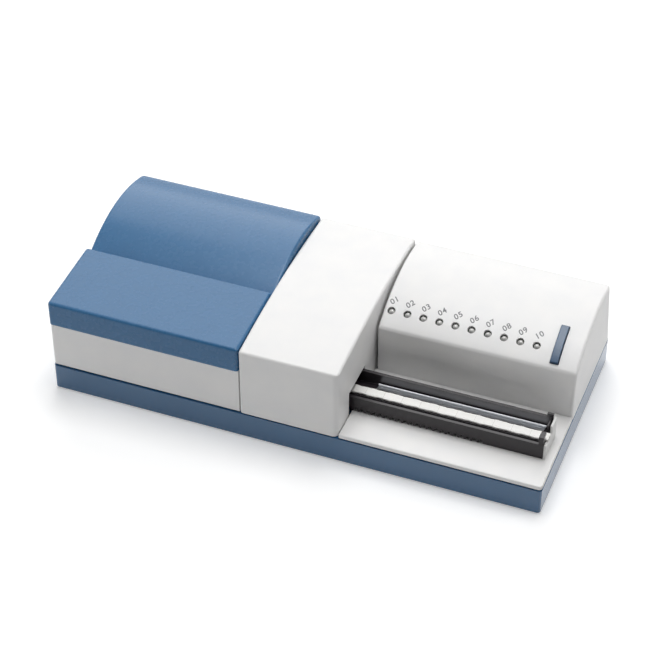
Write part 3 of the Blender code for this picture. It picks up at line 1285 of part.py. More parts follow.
def tray_guide():
    """The fixed channel that carries the tray inside the case, on legs, with the read head's posts."""
    front = TRAY_FRONT - FIT
    rear = TRAY_REAR + FIT
    left = along(GUIDE_INNER_SHARE)
    right = along(GUIDE_OUTER_SHARE)
    floor_top = SOLE - FIT
    floor_bottom = floor_top - GUIDE_FLOOR
    rack_rear = TRAY_FRONT + PINION_WIDTH + FIT
    section = [
        (rack_rear, floor_bottom),
        (rear + GUIDE_WALL, floor_bottom),
        (rear + GUIDE_WALL, floor_top + GUIDE_WALL_HEIGHT),
        (rear, floor_top + GUIDE_WALL_HEIGHT),
        (rear, floor_top),
        (rack_rear + GUIDE_WALL, floor_top),
        (rack_rear + GUIDE_WALL, TRAY_TIP + TRAY_UNDERCUT - FIT),
        (rack_rear, TRAY_TIP + TRAY_UNDERCUT - FIT),
    ]
    guide = plate("tray_guide", section, SIDE_VIEW, left, right, DARK_PLASTIC)
    leg_bottom = FLOOR_TOP + FIT
    pieces = []
    for low in (left, along(PINION_SHARE) - PINION_RADIUS - 2 * GUIDE_LEG):
        pieces.append(box("guide_leg", (low, rack_rear, leg_bottom),
                          (low + GUIDE_LEG, rear + GUIDE_WALL, floor_bottom + GUIDE_FLOOR / 2)))
    fence_rear = front
    fence_front = front - GUIDE_WALL
    fence_top = floor_top + GUIDE_WALL_HEIGHT
    pieces.append(box("guide_fence", (left, fence_front, leg_bottom), (right, fence_rear, fence_top)))
    for low in (left, along(PINION_SHARE) - PINION_RADIUS - 2 * GUIDE_LEG):
        pieces.append(box("guide_bridge", (low, fence_front, leg_bottom),
                          (low + GUIDE_LEG, rack_rear + GUIDE_WALL, TRAY_TIP - 2 * FIT)))
    head_left = along(HEAD_LEFT_SHARE)
    post_top = floor_top + GUIDE_POST_RISE
    for low in (head_left, head_left + HEAD_WIDTH - GUIDE_LEG):
        pieces.append(box("head_post", (low, rear + GUIDE_WALL / 2, floor_bottom),
                          (low + GUIDE_LEG, rear + GUIDE_WALL + GUIDE_POST_DEPTH, post_top)))
    join(guide, *pieces)
    x = along(PINION_SHARE)
    outer = (x, fence_front - OVERRUN, DRIVE_AXIS)
    cut(guide, cylinder("shaft_bearing", SHAFT_RADIUS + BORE_CLEARANCE, outer,
                        (x, fence_rear + OVERRUN, DRIVE_AXIS), sides=20))
    return guide


def read_head():
    """The reading block over the tray: a stepped port with a lens in it, and the sensor board on top."""
    left = along(HEAD_LEFT_SHARE)
    front = TRAY_FRONT + HEAD_SETBACK
    bottom = TRAY_TIP + TRAY_REAR_HEIGHT + HEAD_OVER_TRAY
    top = bottom + HEAD_HEIGHT
    post_top = SOLE - FIT + GUIDE_POST_RISE
    rear_post = TRAY_REAR + FIT + GUIDE_WALL + GUIDE_POST_DEPTH
    head = box("read_head", (left, front, bottom), (left + HEAD_WIDTH, front + HEAD_DEPTH, top), DARK_PLASTIC)
    arm = box("head_arm", (left, front + HEAD_DEPTH - OVERRUN / 2, post_top + FIT),
              (left + HEAD_WIDTH, rear_post, post_top + FIT + HEAD_ARM_HEIGHT))
    join(head, arm)
    x = left + HEAD_WIDTH / 2
    y = front + HEAD_DEPTH / 2
    shoulder = bottom + HEAD_HEIGHT * HEAD_PORT_DEPTH_SHARE
    cut(head, cylinder("head_port", HEAD_PORT_RADIUS, (x, y, bottom - OVERRUN), (x, y, shoulder), sides=24))
    cut(head, cylinder("head_barrel", HEAD_BARREL_RADIUS, (x, y, shoulder - OVERRUN), (x, y, top + OVERRUN),
                       sides=20))
    lens = [
        (0, 0),
        (HEAD_PORT_RADIUS - FIT, 0),
        (HEAD_PORT_RADIUS - FIT, -LENS_THICKNESS / 2),
        (HEAD_PORT_RADIUS * LENS_CROWN_SHARE, -LENS_THICKNESS * LENS_RIM_SHARE),
        (0, -LENS_THICKNESS),
    ]
    turned("read_lens", lens, (x, y, shoulder - FIT), (0, 0, 1), GLASS, steps=24)
    box("sensor_board", (left - SENSOR_BOARD_MARGIN, front - SENSOR_BOARD_MARGIN, top + FIT),
        (left + HEAD_WIDTH + SENSOR_BOARD_MARGIN, front + HEAD_DEPTH + SENSOR_BOARD_MARGIN,
         top + FIT + BOARD_THICKNESS), BOARD)


def main_board():
    """The main board on the base floor, with the power socket, serial socket and power switch behind it."""
    left = along(MAIN_BOARD_LEFT_SHARE)
    right = along(MAIN_BOARD_RIGHT_SHARE)
    rear = REAR - BASE_WALL - FIT
    low = FLOOR_TOP + MAIN_BOARD_RISE
    board_high = (right, rear, low + BOARD_THICKNESS)
    board = box("main_board", (left, rear - MAIN_BOARD_DEPTH, low), board_high, BOARD)
    for x in (left + 2 * BOARD_POST_RADIUS, right - 2 * BOARD_POST_RADIUS):
        for y in (rear - MAIN_BOARD_DEPTH + 2 * BOARD_POST_RADIUS, rear - 2 * BOARD_POST_RADIUS):
            join(board, cylinder("board_spacer", BOARD_POST_RADIUS, (x, y, FLOOR_TOP + FIT),
                                 (x, y, low + BOARD_THICKNESS / 2), sides=12))

    outer = REAR - SOCKET_REAR_INSET
    x = along(JACK_SHARE)
    jack = box("power_socket", (x - JACK_WIDTH / 2, outer - JACK_LENGTH, SOCKET_BOTTOM),
               (x + JACK_WIDTH / 2, outer, SOCKET_BOTTOM + JACK_HEIGHT), DARK_PLASTIC)
    axis = SOCKET_BOTTOM + JACK_HEIGHT / 2
    depth = JACK_LENGTH * JACK_BORE_SHARE
    bore = cylinder("socket_bore", JACK_BORE_RADIUS, (x, outer - depth, axis), (x, outer + OVERRUN, axis),
                    sides=24)
    pin_end = (x, outer - OVERRUN, axis)
    cut(bore, cylinder("socket_pin", JACK_PIN_RADIUS, (x, outer - JACK_LENGTH, axis), pin_end, sides=12))
    cut(jack, bore)

    x = along(SERIAL_SHARE)
    serial = box("serial_socket", (x - SERIAL_WIDTH / 2, outer - SERIAL_LENGTH, SOCKET_BOTTOM),
                 (x + SERIAL_WIDTH / 2, outer, SOCKET_BOTTOM + SERIAL_HEIGHT), STEEL)
    slant = SERIAL_FACE_WIDTH * SERIAL_FACE_SLANT_SHARE
    low_z = SOCKET_BOTTOM + (SERIAL_HEIGHT - SERIAL_FACE_HEIGHT) / 2
    face = [
        (x - SERIAL_FACE_WIDTH / 2 + slant, low_z),
        (x + SERIAL_FACE_WIDTH / 2 - slant, low_z),
        (x + SERIAL_FACE_WIDTH / 2, low_z + SERIAL_FACE_HEIGHT),
        (x - SERIAL_FACE_WIDTH / 2, low_z + SERIAL_FACE_HEIGHT),
    ]
    cut(serial, plate("serial_well", face, FRONT_VIEW, -(outer + OVERRUN), -(outer - SERIAL_SOCKET_DEPTH)))

    rocker_switch(outer)


def rocker_switch(outer):
    """The power switch: a framed body, and a crowned rocker that rests tilted to one side."""
    x = along(ROCKER_SHARE)
    body = box("switch_body", (x - ROCKER_BODY_WIDTH / 2, outer - ROCKER_BODY_LENGTH, SOCKET_BOTTOM),
               (x + ROCKER_BODY_WIDTH / 2, outer, SOCKET_BOTTOM + ROCKER_BODY_HEIGHT), DARK_PLASTIC)
    cut(body, box("rocker_well", (x - ROCKER_BODY_WIDTH / 2 + ROCKER_WALL, outer - ROCKER_WELL,
                                  SOCKET_BOTTOM + ROCKER_WALL),
                  (x + ROCKER_BODY_WIDTH / 2 - ROCKER_WALL, outer + OVERRUN,
                   SOCKET_BOTTOM + ROCKER_BODY_HEIGHT - ROCKER_WALL)))
    half = ROCKER_BODY_WIDTH / 2 - ROCKER_WALL - 2 * FIT
    deep = ROCKER_WELL - ROCKER_PIVOT_DEPTH
    swing = half * math.sin(ROCKER_ANGLE) + FIT
    edge = half * ROCKER_EDGE_SHARE
    outline = [
        (-half, 0),
        (-edge, -(deep - swing)),
        (0, -(deep - FIT)),
        (edge, -(deep - swing)),
        (half, 0),
        (edge, ROCKER_CROWN / 2),
        (0, ROCKER_CROWN / 4),
        (-edge, ROCKER_CROWN / 2),
    ]
    cos, sin = math.cos(ROCKER_ANGLE), math.sin(ROCKER_ANGLE)
    tilted = [(u * cos - v * sin, u * sin + v * cos) for u, v in outline]
    pivot_y = outer - ROCKER_PIVOT_DEPTH
    low = SOCKET_BOTTOM + ROCKER_WALL + FIT
    high = SOCKET_BOTTOM + ROCKER_BODY_HEIGHT - ROCKER_WALL - FIT
    rocker = plate("power_rocker", moved(tilted, x, pivot_y), TOP_VIEW, low, high, DARK_PLASTIC)
    set_origin(rocker, (x, pivot_y, (low + high) / 2))
    return rocker


def printer():
    """The paper mechanism: frame with bowl, roll, platen with its drive, head, spring and tear blade."""
    centre = PRINTER_MIDDLE
    inner = CHEEK_INNER
    outer = CHEEK_OUTER
    platen_y = inward(PLATEN_SHARE)
    roll_y = platen_y + ROLL_SETBACK
    roll_z = UNDERSIDE + ROLL_HEIGHT
    platen_z = UNDERSIDE + PLATEN_HEIGHT
    deck = UNDERSIDE + PRINTER_DECK
    printer_frame(centre, inner, outer, roll_y, roll_z, platen_y, platen_z, deck)
    roll = [
        (ROLL_CORE_RADIUS, PAPER_WIDTH / 2),
        (ROLL_RADIUS, PAPER_WIDTH / 2),
        (ROLL_RADIUS, -PAPER_WIDTH / 2),
        (ROLL_CORE_RADIUS, -PAPER_WIDTH / 2),
        (ROLL_CORE_RADIUS, PAPER_WIDTH / 2),
    ]
    turned("paper_roll", roll, (centre, roll_y, roll_z), (1, 0, 0), PAPER, steps=36)
    platen(centre, inner, outer, platen_y, platen_z)
    printer_drive(centre, outer, platen_y, platen_z)
    print_head(centre, inner, platen_y, platen_z)


def printer_frame(centre, inner, outer, roll_y, roll_z, platen_y, platen_z, deck):
    """Two cheeks joined by a deck and the curved paper bowl, on four legs."""
    front = platen_y - FRAME_REACH
    rear = platen_y + CHEEK_REACH
    cheek_top = UNDERSIDE + CHEEK_TOP
    cheek = [
        (front, deck),
        (rear, deck),
        (rear, platen_z),
        (platen_y + BUSH_FLANGE_RADIUS + BUSH_FLANGE, cheek_top),
        (front, cheek_top),
    ]
    frame = plate("printer_frame", cheek, SIDE_VIEW, centre - outer, centre - inner, DARK_PLASTIC)
    pieces = [plate("printer_cheek_right", cheek, SIDE_VIEW, centre + inner, centre + outer)]
    side = outer - FIT
    pieces.append(box("printer_deck", (centre - side, front + FIT, deck + FIT),
                      (centre + side, rear - FIT, deck + PRINTER_DECK_THICKNESS)))
    inside = ROLL_RADIUS + FIT
    outside = inside + BOWL_THICKNESS
    steps = OUTLINE_STEPS
    turns = [BOWL_FRONT_ANGLE + (BOWL_REAR_ANGLE - BOWL_FRONT_ANGLE) * i / steps for i in range(steps + 1)]
    bowl = [(roll_y + outside * math.cos(t), roll_z + outside * math.sin(t)) for t in turns]
    pieces.append(plate("paper_bowl", bowl, SIDE_VIEW, centre - side, centre + side))
    bar_rear = head_face(platen_y) - HEAD_PLATE_THICKNESS - SPRING_THICKNESS - SPRING_BOW - 2 * FIT
    bar_middle = head_low(platen_z) + HEAD_PLATE_HEIGHT * SPRING_HEIGHT_SHARE / 2
    pieces.append(box("spring_bar", (centre - side, front + FIT, bar_middle - PRINTER_DECK_THICKNESS),
                      (centre + side, bar_rear, bar_middle + PRINTER_DECK_THICKNESS)))
    leg_bottom = FLOOR_TOP + FIT
    rear_leg = roll_y - PRINTER_LEG / 2
    for x in (centre - side + FIT, centre + side - FIT - PRINTER_LEG):
        pieces.append(box("printer_leg_front", (x, platen_y, leg_bottom),
                          (x + PRINTER_LEG, platen_y + PRINTER_LEG, deck + PRINTER_DECK_THICKNESS / 2)))
        pieces.append(box("printer_leg_rear", (x, rear_leg, leg_bottom),
                          (x + PRINTER_LEG, rear_leg + PRINTER_LEG, roll_z - outside + BOWL_THICKNESS / 2)))
    join(frame, *pieces)
    cut(frame, cylinder("bowl_hollow", inside, (centre - inner, roll_y, roll_z),
                        (centre + inner, roll_y, roll_z), sides=3 * OUTLINE_STEPS))
    bush_left = centre - outer - OVERRUN
    cut(frame, cylinder("bush_bore", BUSH_RADIUS + FIT / 2, (bush_left, platen_y, platen_z),
                        (centre + outer + OVERRUN, platen_y, platen_z), sides=24))
    motor_y, motor_z = printer_motor_place(platen_y, platen_z)
    opening_left = centre + inner - OVERRUN
    cut(frame, cylinder("motor_opening", PRINTER_MOTOR_RADIUS + FIT, (opening_left, motor_y, motor_z),
                        (centre + outer + OVERRUN, motor_y, motor_z), sides=24))
    return frame


def head_face(platen_y):
    """The head plate's face, one nip in front of the platen."""
    return platen_y - PLATEN_RADIUS - NIP_GAP


def head_low(platen_z):
    return platen_z - HEAD_PLATE_HEIGHT * HEAD_DROP_SHARE


def printer_motor_place(platen_y, platen_z):
    """The printer motor's axis, one mesh distance from the platen gear, below and behind it."""
    distance = (PLATEN_TEETH + MOTOR_TEETH) * PRINTER_MODULE / 2
    turn = PRINTER_MOTOR_ANGLE
    return platen_y + distance * math.cos(turn), platen_z + distance * math.sin(turn)


def platen(centre, inner, outer, y, z):
    shaft_right = outer + BUSH_FLANGE + GEAR_GAP + GEAR_WIDTH + FIT
    cylinder("platen_shaft", PLATEN_SHAFT_RADIUS, (centre - outer - BUSH_FLANGE, y, z),
             (centre + shaft_right, y, z), STEEL, sides=20)
    half = PAPER_WIDTH / 2
    bore = PLATEN_SHAFT_RADIUS + BORE_CLEARANCE
    rubber = [(bore, half), (PLATEN_RADIUS, half), (PLATEN_RADIUS, -half), (bore, -half), (bore, half)]
    turned("platen_roller", rubber, (centre, y, z), (1, 0, 0), RUBBER, steps=28)
    for side, sign in (("left", -1), ("right", 1)):
        profile = [
            (bore, BUSH_FLANGE + FIT),
            (BUSH_FLANGE_RADIUS, BUSH_FLANGE + FIT),
            (BUSH_FLANGE_RADIUS, FIT),
            (BUSH_RADIUS, FIT),
            (BUSH_RADIUS, -CHEEK_THICKNESS),
            (bore, -CHEEK_THICKNESS),
            (bore, BUSH_FLANGE + FIT),
        ]
        turned("platen_bush_" + side, profile, (centre + sign * outer, y, z), (sign, 0, 0), BRASS, steps=20)


def printer_drive(centre, outer, y, z):
    """Platen gear on the shaft's right end, and the motor with its pinion in mesh below it."""
    low = centre + outer + BUSH_FLANGE + GEAR_GAP
    addendum = PRINTER_MODULE * GEAR_ADDENDUM_SHARE
    dedendum = PRINTER_MODULE * GEAR_DEDENDUM_SHARE
    motor_y, motor_z = printer_motor_place(y, z)
    towards = PRINTER_MOTOR_ANGLE
    big = gear_outline(PLATEN_TEETH, PRINTER_MODULE, addendum, dedendum, towards + math.pi / PLATEN_TEETH)
    gear = plate("platen_gear", moved(big, y, z), SIDE_VIEW, low, low + GEAR_WIDTH, NYLON)
    set_origin(gear, (low, y, z))
    cut(gear, cylinder("platen_gear_bore", PLATEN_SHAFT_RADIUS + BORE_CLEARANCE, (low - OVERRUN, y, z),
                       (low + GEAR_WIDTH + OVERRUN, y, z), sides=20))
    small = gear_outline(MOTOR_TEETH, PRINTER_MODULE, addendum, dedendum, towards + math.pi)
    pinion = plate("motor_pinion", moved(small, motor_y, motor_z), SIDE_VIEW, low, low + GEAR_WIDTH, BRASS)
    set_origin(pinion, (low, motor_y, motor_z))
    spindle_left = centre + outer - PRINTER_MOTOR_LENGTH / 4
    spindle = cylinder("pinion_spindle", PLATEN_SHAFT_RADIUS / 2, (spindle_left, motor_y, motor_z),
                       (low + GEAR_WIDTH / 2, motor_y, motor_z), sides=12)
    join(pinion, spindle)
    motor_right = centre + outer + FIT
    motor_left = motor_right - PRINTER_MOTOR_LENGTH
    motor = cylinder("printer_motor", PRINTER_MOTOR_RADIUS, (motor_left, motor_y, motor_z),
                     (motor_right, motor_y, motor_z), STEEL, sides=28)
    cut(motor, cylinder("spindle_bore", PLATEN_SHAFT_RADIUS / 2 + FIT,
                        (spindle_left - FIT, motor_y, motor_z),
                        (motor_right + OVERRUN, motor_y, motor_z), sides=16))


def print_head(centre, inner, y, z):
    """The head plate against the platen, the leaf spring behind it and the toothed tear blade over it."""
    half = inner - FIT
    face = head_face(y)
    low = head_low(z)
    box("thermal_head", (centre - half, face - HEAD_PLATE_THICKNESS, low),
        (centre + half, face, low + HEAD_PLATE_HEIGHT), ALUMINIUM)
    back = face - HEAD_PLATE_THICKNESS - FIT
    steps = SPRING_STEPS
    height = HEAD_PLATE_HEIGHT * SPRING_HEIGHT_SHARE
    bow = [(back - SPRING_THICKNESS - SPRING_BOW * (1 - math.cos(2 * math.pi * i / steps)) / 2,
            low + height * i / steps) for i in range(steps + 1)]
    outline = [*bow, *[(a + SPRING_THICKNESS, b) for a, b in reversed(bow)]]
    plate("head_spring", outline, SIDE_VIEW, centre - PAPER_WIDTH / 6, centre + PAPER_WIDTH / 6, STEEL)
    blade_low = low + HEAD_PLATE_HEIGHT + FIT
    tooth = PAPER_WIDTH / BLADE_TEETH
    root = blade_low + BLADE_HEIGHT * (1 - BLADE_TOOTH_SHARE)
    points = [(centre - PAPER_WIDTH / 2, blade_low), (centre + PAPER_WIDTH / 2, blade_low)]
    for i in range(BLADE_TEETH, 0, -1):
        x = centre - PAPER_WIDTH / 2 + i * tooth
        points += [(x, root), (x - tooth / 2, blade_low + BLADE_HEIGHT)]
    points.append((centre - PAPER_WIDTH / 2, root))
    plate("tear_blade", points, FRONT_VIEW, -(face - FIT), -(face - FIT - BLADE_THICKNESS), STEEL)


base_tray()
left_body()
hinge_pins()
printer_cap()
paper_cover()
reader_housing()
panel_housing()
panel_set()
strip_tray()
tray_parts()
tray_drive()
tray_guide()
read_head()
main_board()
printer()
screws()
feet()
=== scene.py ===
import math

import bpy
import bmesh
from mathutils import Matrix, Vector


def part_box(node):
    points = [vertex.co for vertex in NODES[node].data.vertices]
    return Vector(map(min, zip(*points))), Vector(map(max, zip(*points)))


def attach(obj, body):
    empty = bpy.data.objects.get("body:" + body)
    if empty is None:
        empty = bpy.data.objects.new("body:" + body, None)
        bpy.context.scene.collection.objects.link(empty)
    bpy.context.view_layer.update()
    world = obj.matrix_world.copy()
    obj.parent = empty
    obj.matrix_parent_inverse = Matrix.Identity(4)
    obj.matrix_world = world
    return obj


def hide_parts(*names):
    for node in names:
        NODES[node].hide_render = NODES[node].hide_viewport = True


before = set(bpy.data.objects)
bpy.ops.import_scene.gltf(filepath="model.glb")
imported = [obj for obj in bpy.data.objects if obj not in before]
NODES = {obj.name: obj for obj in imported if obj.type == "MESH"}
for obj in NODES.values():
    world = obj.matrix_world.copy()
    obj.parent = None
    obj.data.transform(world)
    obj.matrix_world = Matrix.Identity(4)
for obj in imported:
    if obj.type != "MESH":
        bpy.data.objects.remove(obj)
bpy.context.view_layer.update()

MM = 0.001

# The usual plastic: grain, depth of relief, patches of tone, reach of the worn edges and gloss.
PLASTIC_GRAIN = 0.35 * MM
PLASTIC_DEPTH = 0.009 * MM
PLASTIC_SMOOTH_DEPTH = 0.0005 * MM
PLASTIC_PATCH = 14 * MM
PLASTIC_EDGE = 0.15 * MM
PLASTIC_IOR = 1.5
PLASTIC_COAT_ROUGHNESS = 0.12
PATCH_DEPTH_TIMES = 2.0
PATCH_SWELL_TIMES = 2
PATCH_GLOSS_SHARE = 0.33

# Each plastic's two tones and roughness, and whatever differs from the usual plastic.
PLASTICS = {
    "white_plastic": {"colour": (0.80, 0.80, 0.80), "other": (0.83, 0.825, 0.815),
                      "roughness": 0.42},
    "blue_plastic": {"colour": (0.020, 0.124, 0.280), "other": (0.018, 0.118, 0.269),
                     "roughness": 0.27, "depth": PLASTIC_SMOOTH_DEPTH},
    "base_plastic": {"colour": (0.020, 0.108, 0.240), "other": (0.018, 0.102, 0.230),
                     "roughness": 0.25, "depth": PLASTIC_SMOOTH_DEPTH, "coat": 0.5},
    "button_plastic": {"colour": (0.032, 0.080, 0.155), "other": (0.030, 0.076, 0.148),
                       "roughness": 0.30, "patch": 6 * MM, "depth": PLASTIC_SMOOTH_DEPTH},
    "dark_plastic": {"colour": (0.016, 0.013, 0.016), "other": (0.024, 0.020, 0.024),
                     "roughness": 0.32, "grain": 0.25 * MM, "depth": 0.005 * MM, "edge": 0.3 * MM},
    "pale_plastic": {"colour": (0.72, 0.72, 0.71), "other": (0.68, 0.68, 0.67),
                     "roughness": 0.5},
    "nylon": {"colour": (0.72, 0.70, 0.62), "other": (0.66, 0.64, 0.56),
              "roughness": 0.45, "patch": 5 * MM},
}

# Each metal's two tones and roughness, and the lines and edges that all of them share.
METALS = {
    "steel": {"colour": (0.50, 0.51, 0.53), "other": (0.45, 0.46, 0.48), "roughness": 0.30},
    "brass": {"colour": (0.72, 0.52, 0.22), "other": (0.62, 0.44, 0.18), "roughness": 0.3},
    "aluminium": {"colour": (0.78, 0.79, 0.80), "other": (0.70, 0.71, 0.72), "roughness": 0.34},
}
METAL_LINES = (1, 9, 9)
METAL_GRAIN = 2.2 * MM
METAL_GLOSS_PATCH = METAL_GRAIN * 2
METAL_DEPTH = 0.0002 * MM
METAL_EDGE = 0.1 * MM

# How far roughness wanders around its value, and the samples that round a worn edge.
ROUGH_LOW_SHARE = 0.92
ROUGH_HIGH_SHARE = 1.08
BEVEL_SAMPLES = 6

# Noise: the used part of its range, no stretch, and octaves of detail from swells to fibres.
NOISE_LOW = 0.3
NOISE_HIGH = 0.7
EVEN = (1, 1, 1)
SWELL_DETAIL = 1.0
GRAIN_DETAIL = 2.0
PATCH_DETAIL = 3.0
FULL_DETAIL = 4.0
FIBRE_DETAIL = 5.0

RUBBER_TONES = ((0.020, 0.020, 0.021), (0.034, 0.033, 0.033))
RUBBER_ROUGHNESS = 0.72
RUBBER_PATCH = 2.5 * MM
RUBBER_GRAIN = 0.5 * MM
RUBBER_DEPTH = 0.04 * MM
RUBBER_EDGE = 0.3 * MM

LAMP_TONES = ((0.66, 0.66, 0.64), (0.76, 0.76, 0.73))
# Painted shade in this tone darkens the lamp's front and clears between these shares of its depth.
LAMP_PAINTED_SHADE_TONE = (0.14, 0.14, 0.14)
LAMP_PAINTED_SHADE_SHARES = (-0.02, 0.15)
LAMP_ROUGHNESS = 0.14
LAMP_CLEARNESS = 0.08
LAMP_COAT_ROUGHNESS = 0.04
LAMP_IOR = 1.54
LAMP_PATCH = 1.2 * MM
LAMP_DEPTH = 0.01 * MM

LENS_TONES = ((0.75, 0.80, 0.84), (0.70, 0.76, 0.82))
LENS_ROUGHNESS = 0.06
LENS_CLEARNESS = 0.8
LENS_IOR = 1.52
LENS_PATCH = 2 * MM
LENS_DEPTH = 0.004 * MM

BOARD_TONES = ((0.010, 0.085, 0.030), (0.014, 0.105, 0.040))
BOARD_RUN_TONE = (0.05, 0.20, 0.075)
BOARD_ROUGHNESS = 0.3
BOARD_CELL = 12 * MM
BOARD_RUN_SHARE = 0.05
BOARD_RUN_BLUR = 0.2
BOARD_PATCH = 8 * MM
BOARD_GRAIN = 0.6 * MM
BOARD_RUN_DEPTH = 0.03 * MM
BOARD_GRAIN_DEPTH = 0.01 * MM

PAPER_TONES = ((0.80, 0.80, 0.78), (0.70, 0.70, 0.68))
PAPER_ROUGHNESS = 0.6
PAPER_RING = 6 * MM
PAPER_RING_WANDER = 0.6
PAPER_RING_DEPTH = 0.03 * MM
PAPER_FIBRE = 0.4 * MM
PAPER_FIBRE_DEPTH = 0.01 * MM

# The strip's test fields: number, joins, tones and fibres, with the grain and swell of its face.
FIELD_COUNT = 13.0
FIELD_JOIN_SHARE = 0.015
FIELD_TONES = ((0.90, 0.89, 0.87), (0.86, 0.855, 0.83))
FIELD_JOIN_TONE = (0.60, 0.585, 0.55)
FIELD_FIBRE_TONE = (0.66, 0.65, 0.62)
FIELD_FIBRE_SHARE = 0.2
FIELD_FIBRE = 0.7 * MM
FIELD_FIBRE_STRETCH = (1, 2, 2)
FIELD_ROUGHNESS = 0.62
FIELD_GRAIN = 0.35 * MM
FIELD_GRAIN_DEPTH = 0.03 * MM
FIELD_SWELL = 3 * MM
FIELD_SWELL_DEPTH = 0.10 * MM
FIELD_EDGE = 0.2 * MM

INK_TONES = ((0.15, 0.15, 0.16), (0.22, 0.22, 0.23))
INK_ROUGHNESS = 0.5
INK_PATCH = 0.8 * MM
INK_DEPTH = 0.005 * MM

# Normals of the part's own nodes: points welded, sharp edges by angle, large faces weigh more.
WELD = 0.005 * MM
SHARP = math.radians(32)
FACE_WEIGHT = 100

# Printed numbers: their type, their place from each lamp's centre and their lift off the panel,
# which is found by a ray from above its highest point.
NUMBER_COUNT = 10
NUMBER_SIZE = 5.0 * MM
NUMBER_WEIGHT = 0.10 * MM
NUMBER_SPACING = 1.12
NUMBER_CURVE_STEPS = 5
NUMBER_SLANT = math.radians(45)
NUMBER_RIGHT = -1.0 * MM
NUMBER_BEHIND = -0.8 * MM
NUMBER_LIFT = 0.03 * MM
PANEL_PROBE_LIFT = 1.0 * MM

# The strip's edges wander by waves: length, size and phase of each.
STRIP_STEPS = 420
STRIP_WAVES = (
    (11.3 * MM, 0.16 * MM, 0.4),
    (4.7 * MM, 0.10 * MM, 1.9),
    (2.3 * MM, 0.05 * MM, 3.1),
)
STRIP_REAR_STRETCH = 1.17
STRIP_REAR_PHASE = 2.3
STRIP_TOP_STRETCH = 2.1
STRIP_CORNER = 0.25 * MM
STRIP_CORNER_SHARE = 0.3
STRIP_SAG = 0.08 * MM
STRIP_SHARP = math.radians(50)

# The floor glows for the rays that see it, and the glow grows between two distances away.
FLOOR_SIZE = 30.0
FLOOR_COLOUR = (0.82, 0.82, 0.82, 1)
FLOOR_GLOW = 0.32
FAR_FLOOR_GLOW = 1.0
FLOOR_GLOW_START = 0.7
FLOOR_GLOW_END = 2.5
FLOOR_ROUGHNESS = 0.9
FLOOR_SHEEN = 0.1
WHITE_LIGHT = (1, 1, 1, 1)

# Gloss shows the white studio around and above the object, which is dim only on the viewer's side:
# white beyond SKY_WHITE_SHARE of the way along Y, and dim before SKY_VIEWER_SHARE.
SKY_LIGHT = 0.07
SKY_WHITE = 1.0
SKY_VIEWER = 0.08
SKY_VIEWER_SHARE = -0.85
SKY_WHITE_SHARE = -0.30

# Softboxes: name, place, side and power. All of them face AIM.
SOFTBOXES = (
    ("key_softbox", (0.0, 0.20, 1.50), 0.8, 12.0),
    ("rear_softbox", (-0.43, 1.14, 1.03), 1.3, 9.8),
    ("wide_softbox", (0.0, -0.25, 1.50), 1.6, 4.2),
    ("side_softbox", (1.4, 0.5, 0.9), 0.8, 4.8),
    ("front_softbox", (-1.2, -1.0, 0.35), 0.8, 4.9),
)
AIM = (0, 0, 0.03)

# The camera that was fitted to the photo: what it looks at, the way back to it, lens and roll.
CAMERA_TARGET = Vector((-0.0051, 0.0031, 0.0326))
CAMERA_BACK = Vector((0.2758, -0.7153, 0.6421))
CAMERA_DISTANCE = 1.29165
CAMERA_ROLL = math.radians(-0.08)
CAMERA_LENS = 114.11
CAMERA_SENSOR = 36.0
CAMERA_NEAR = 0.05
CAMERA_FAR = 100.0


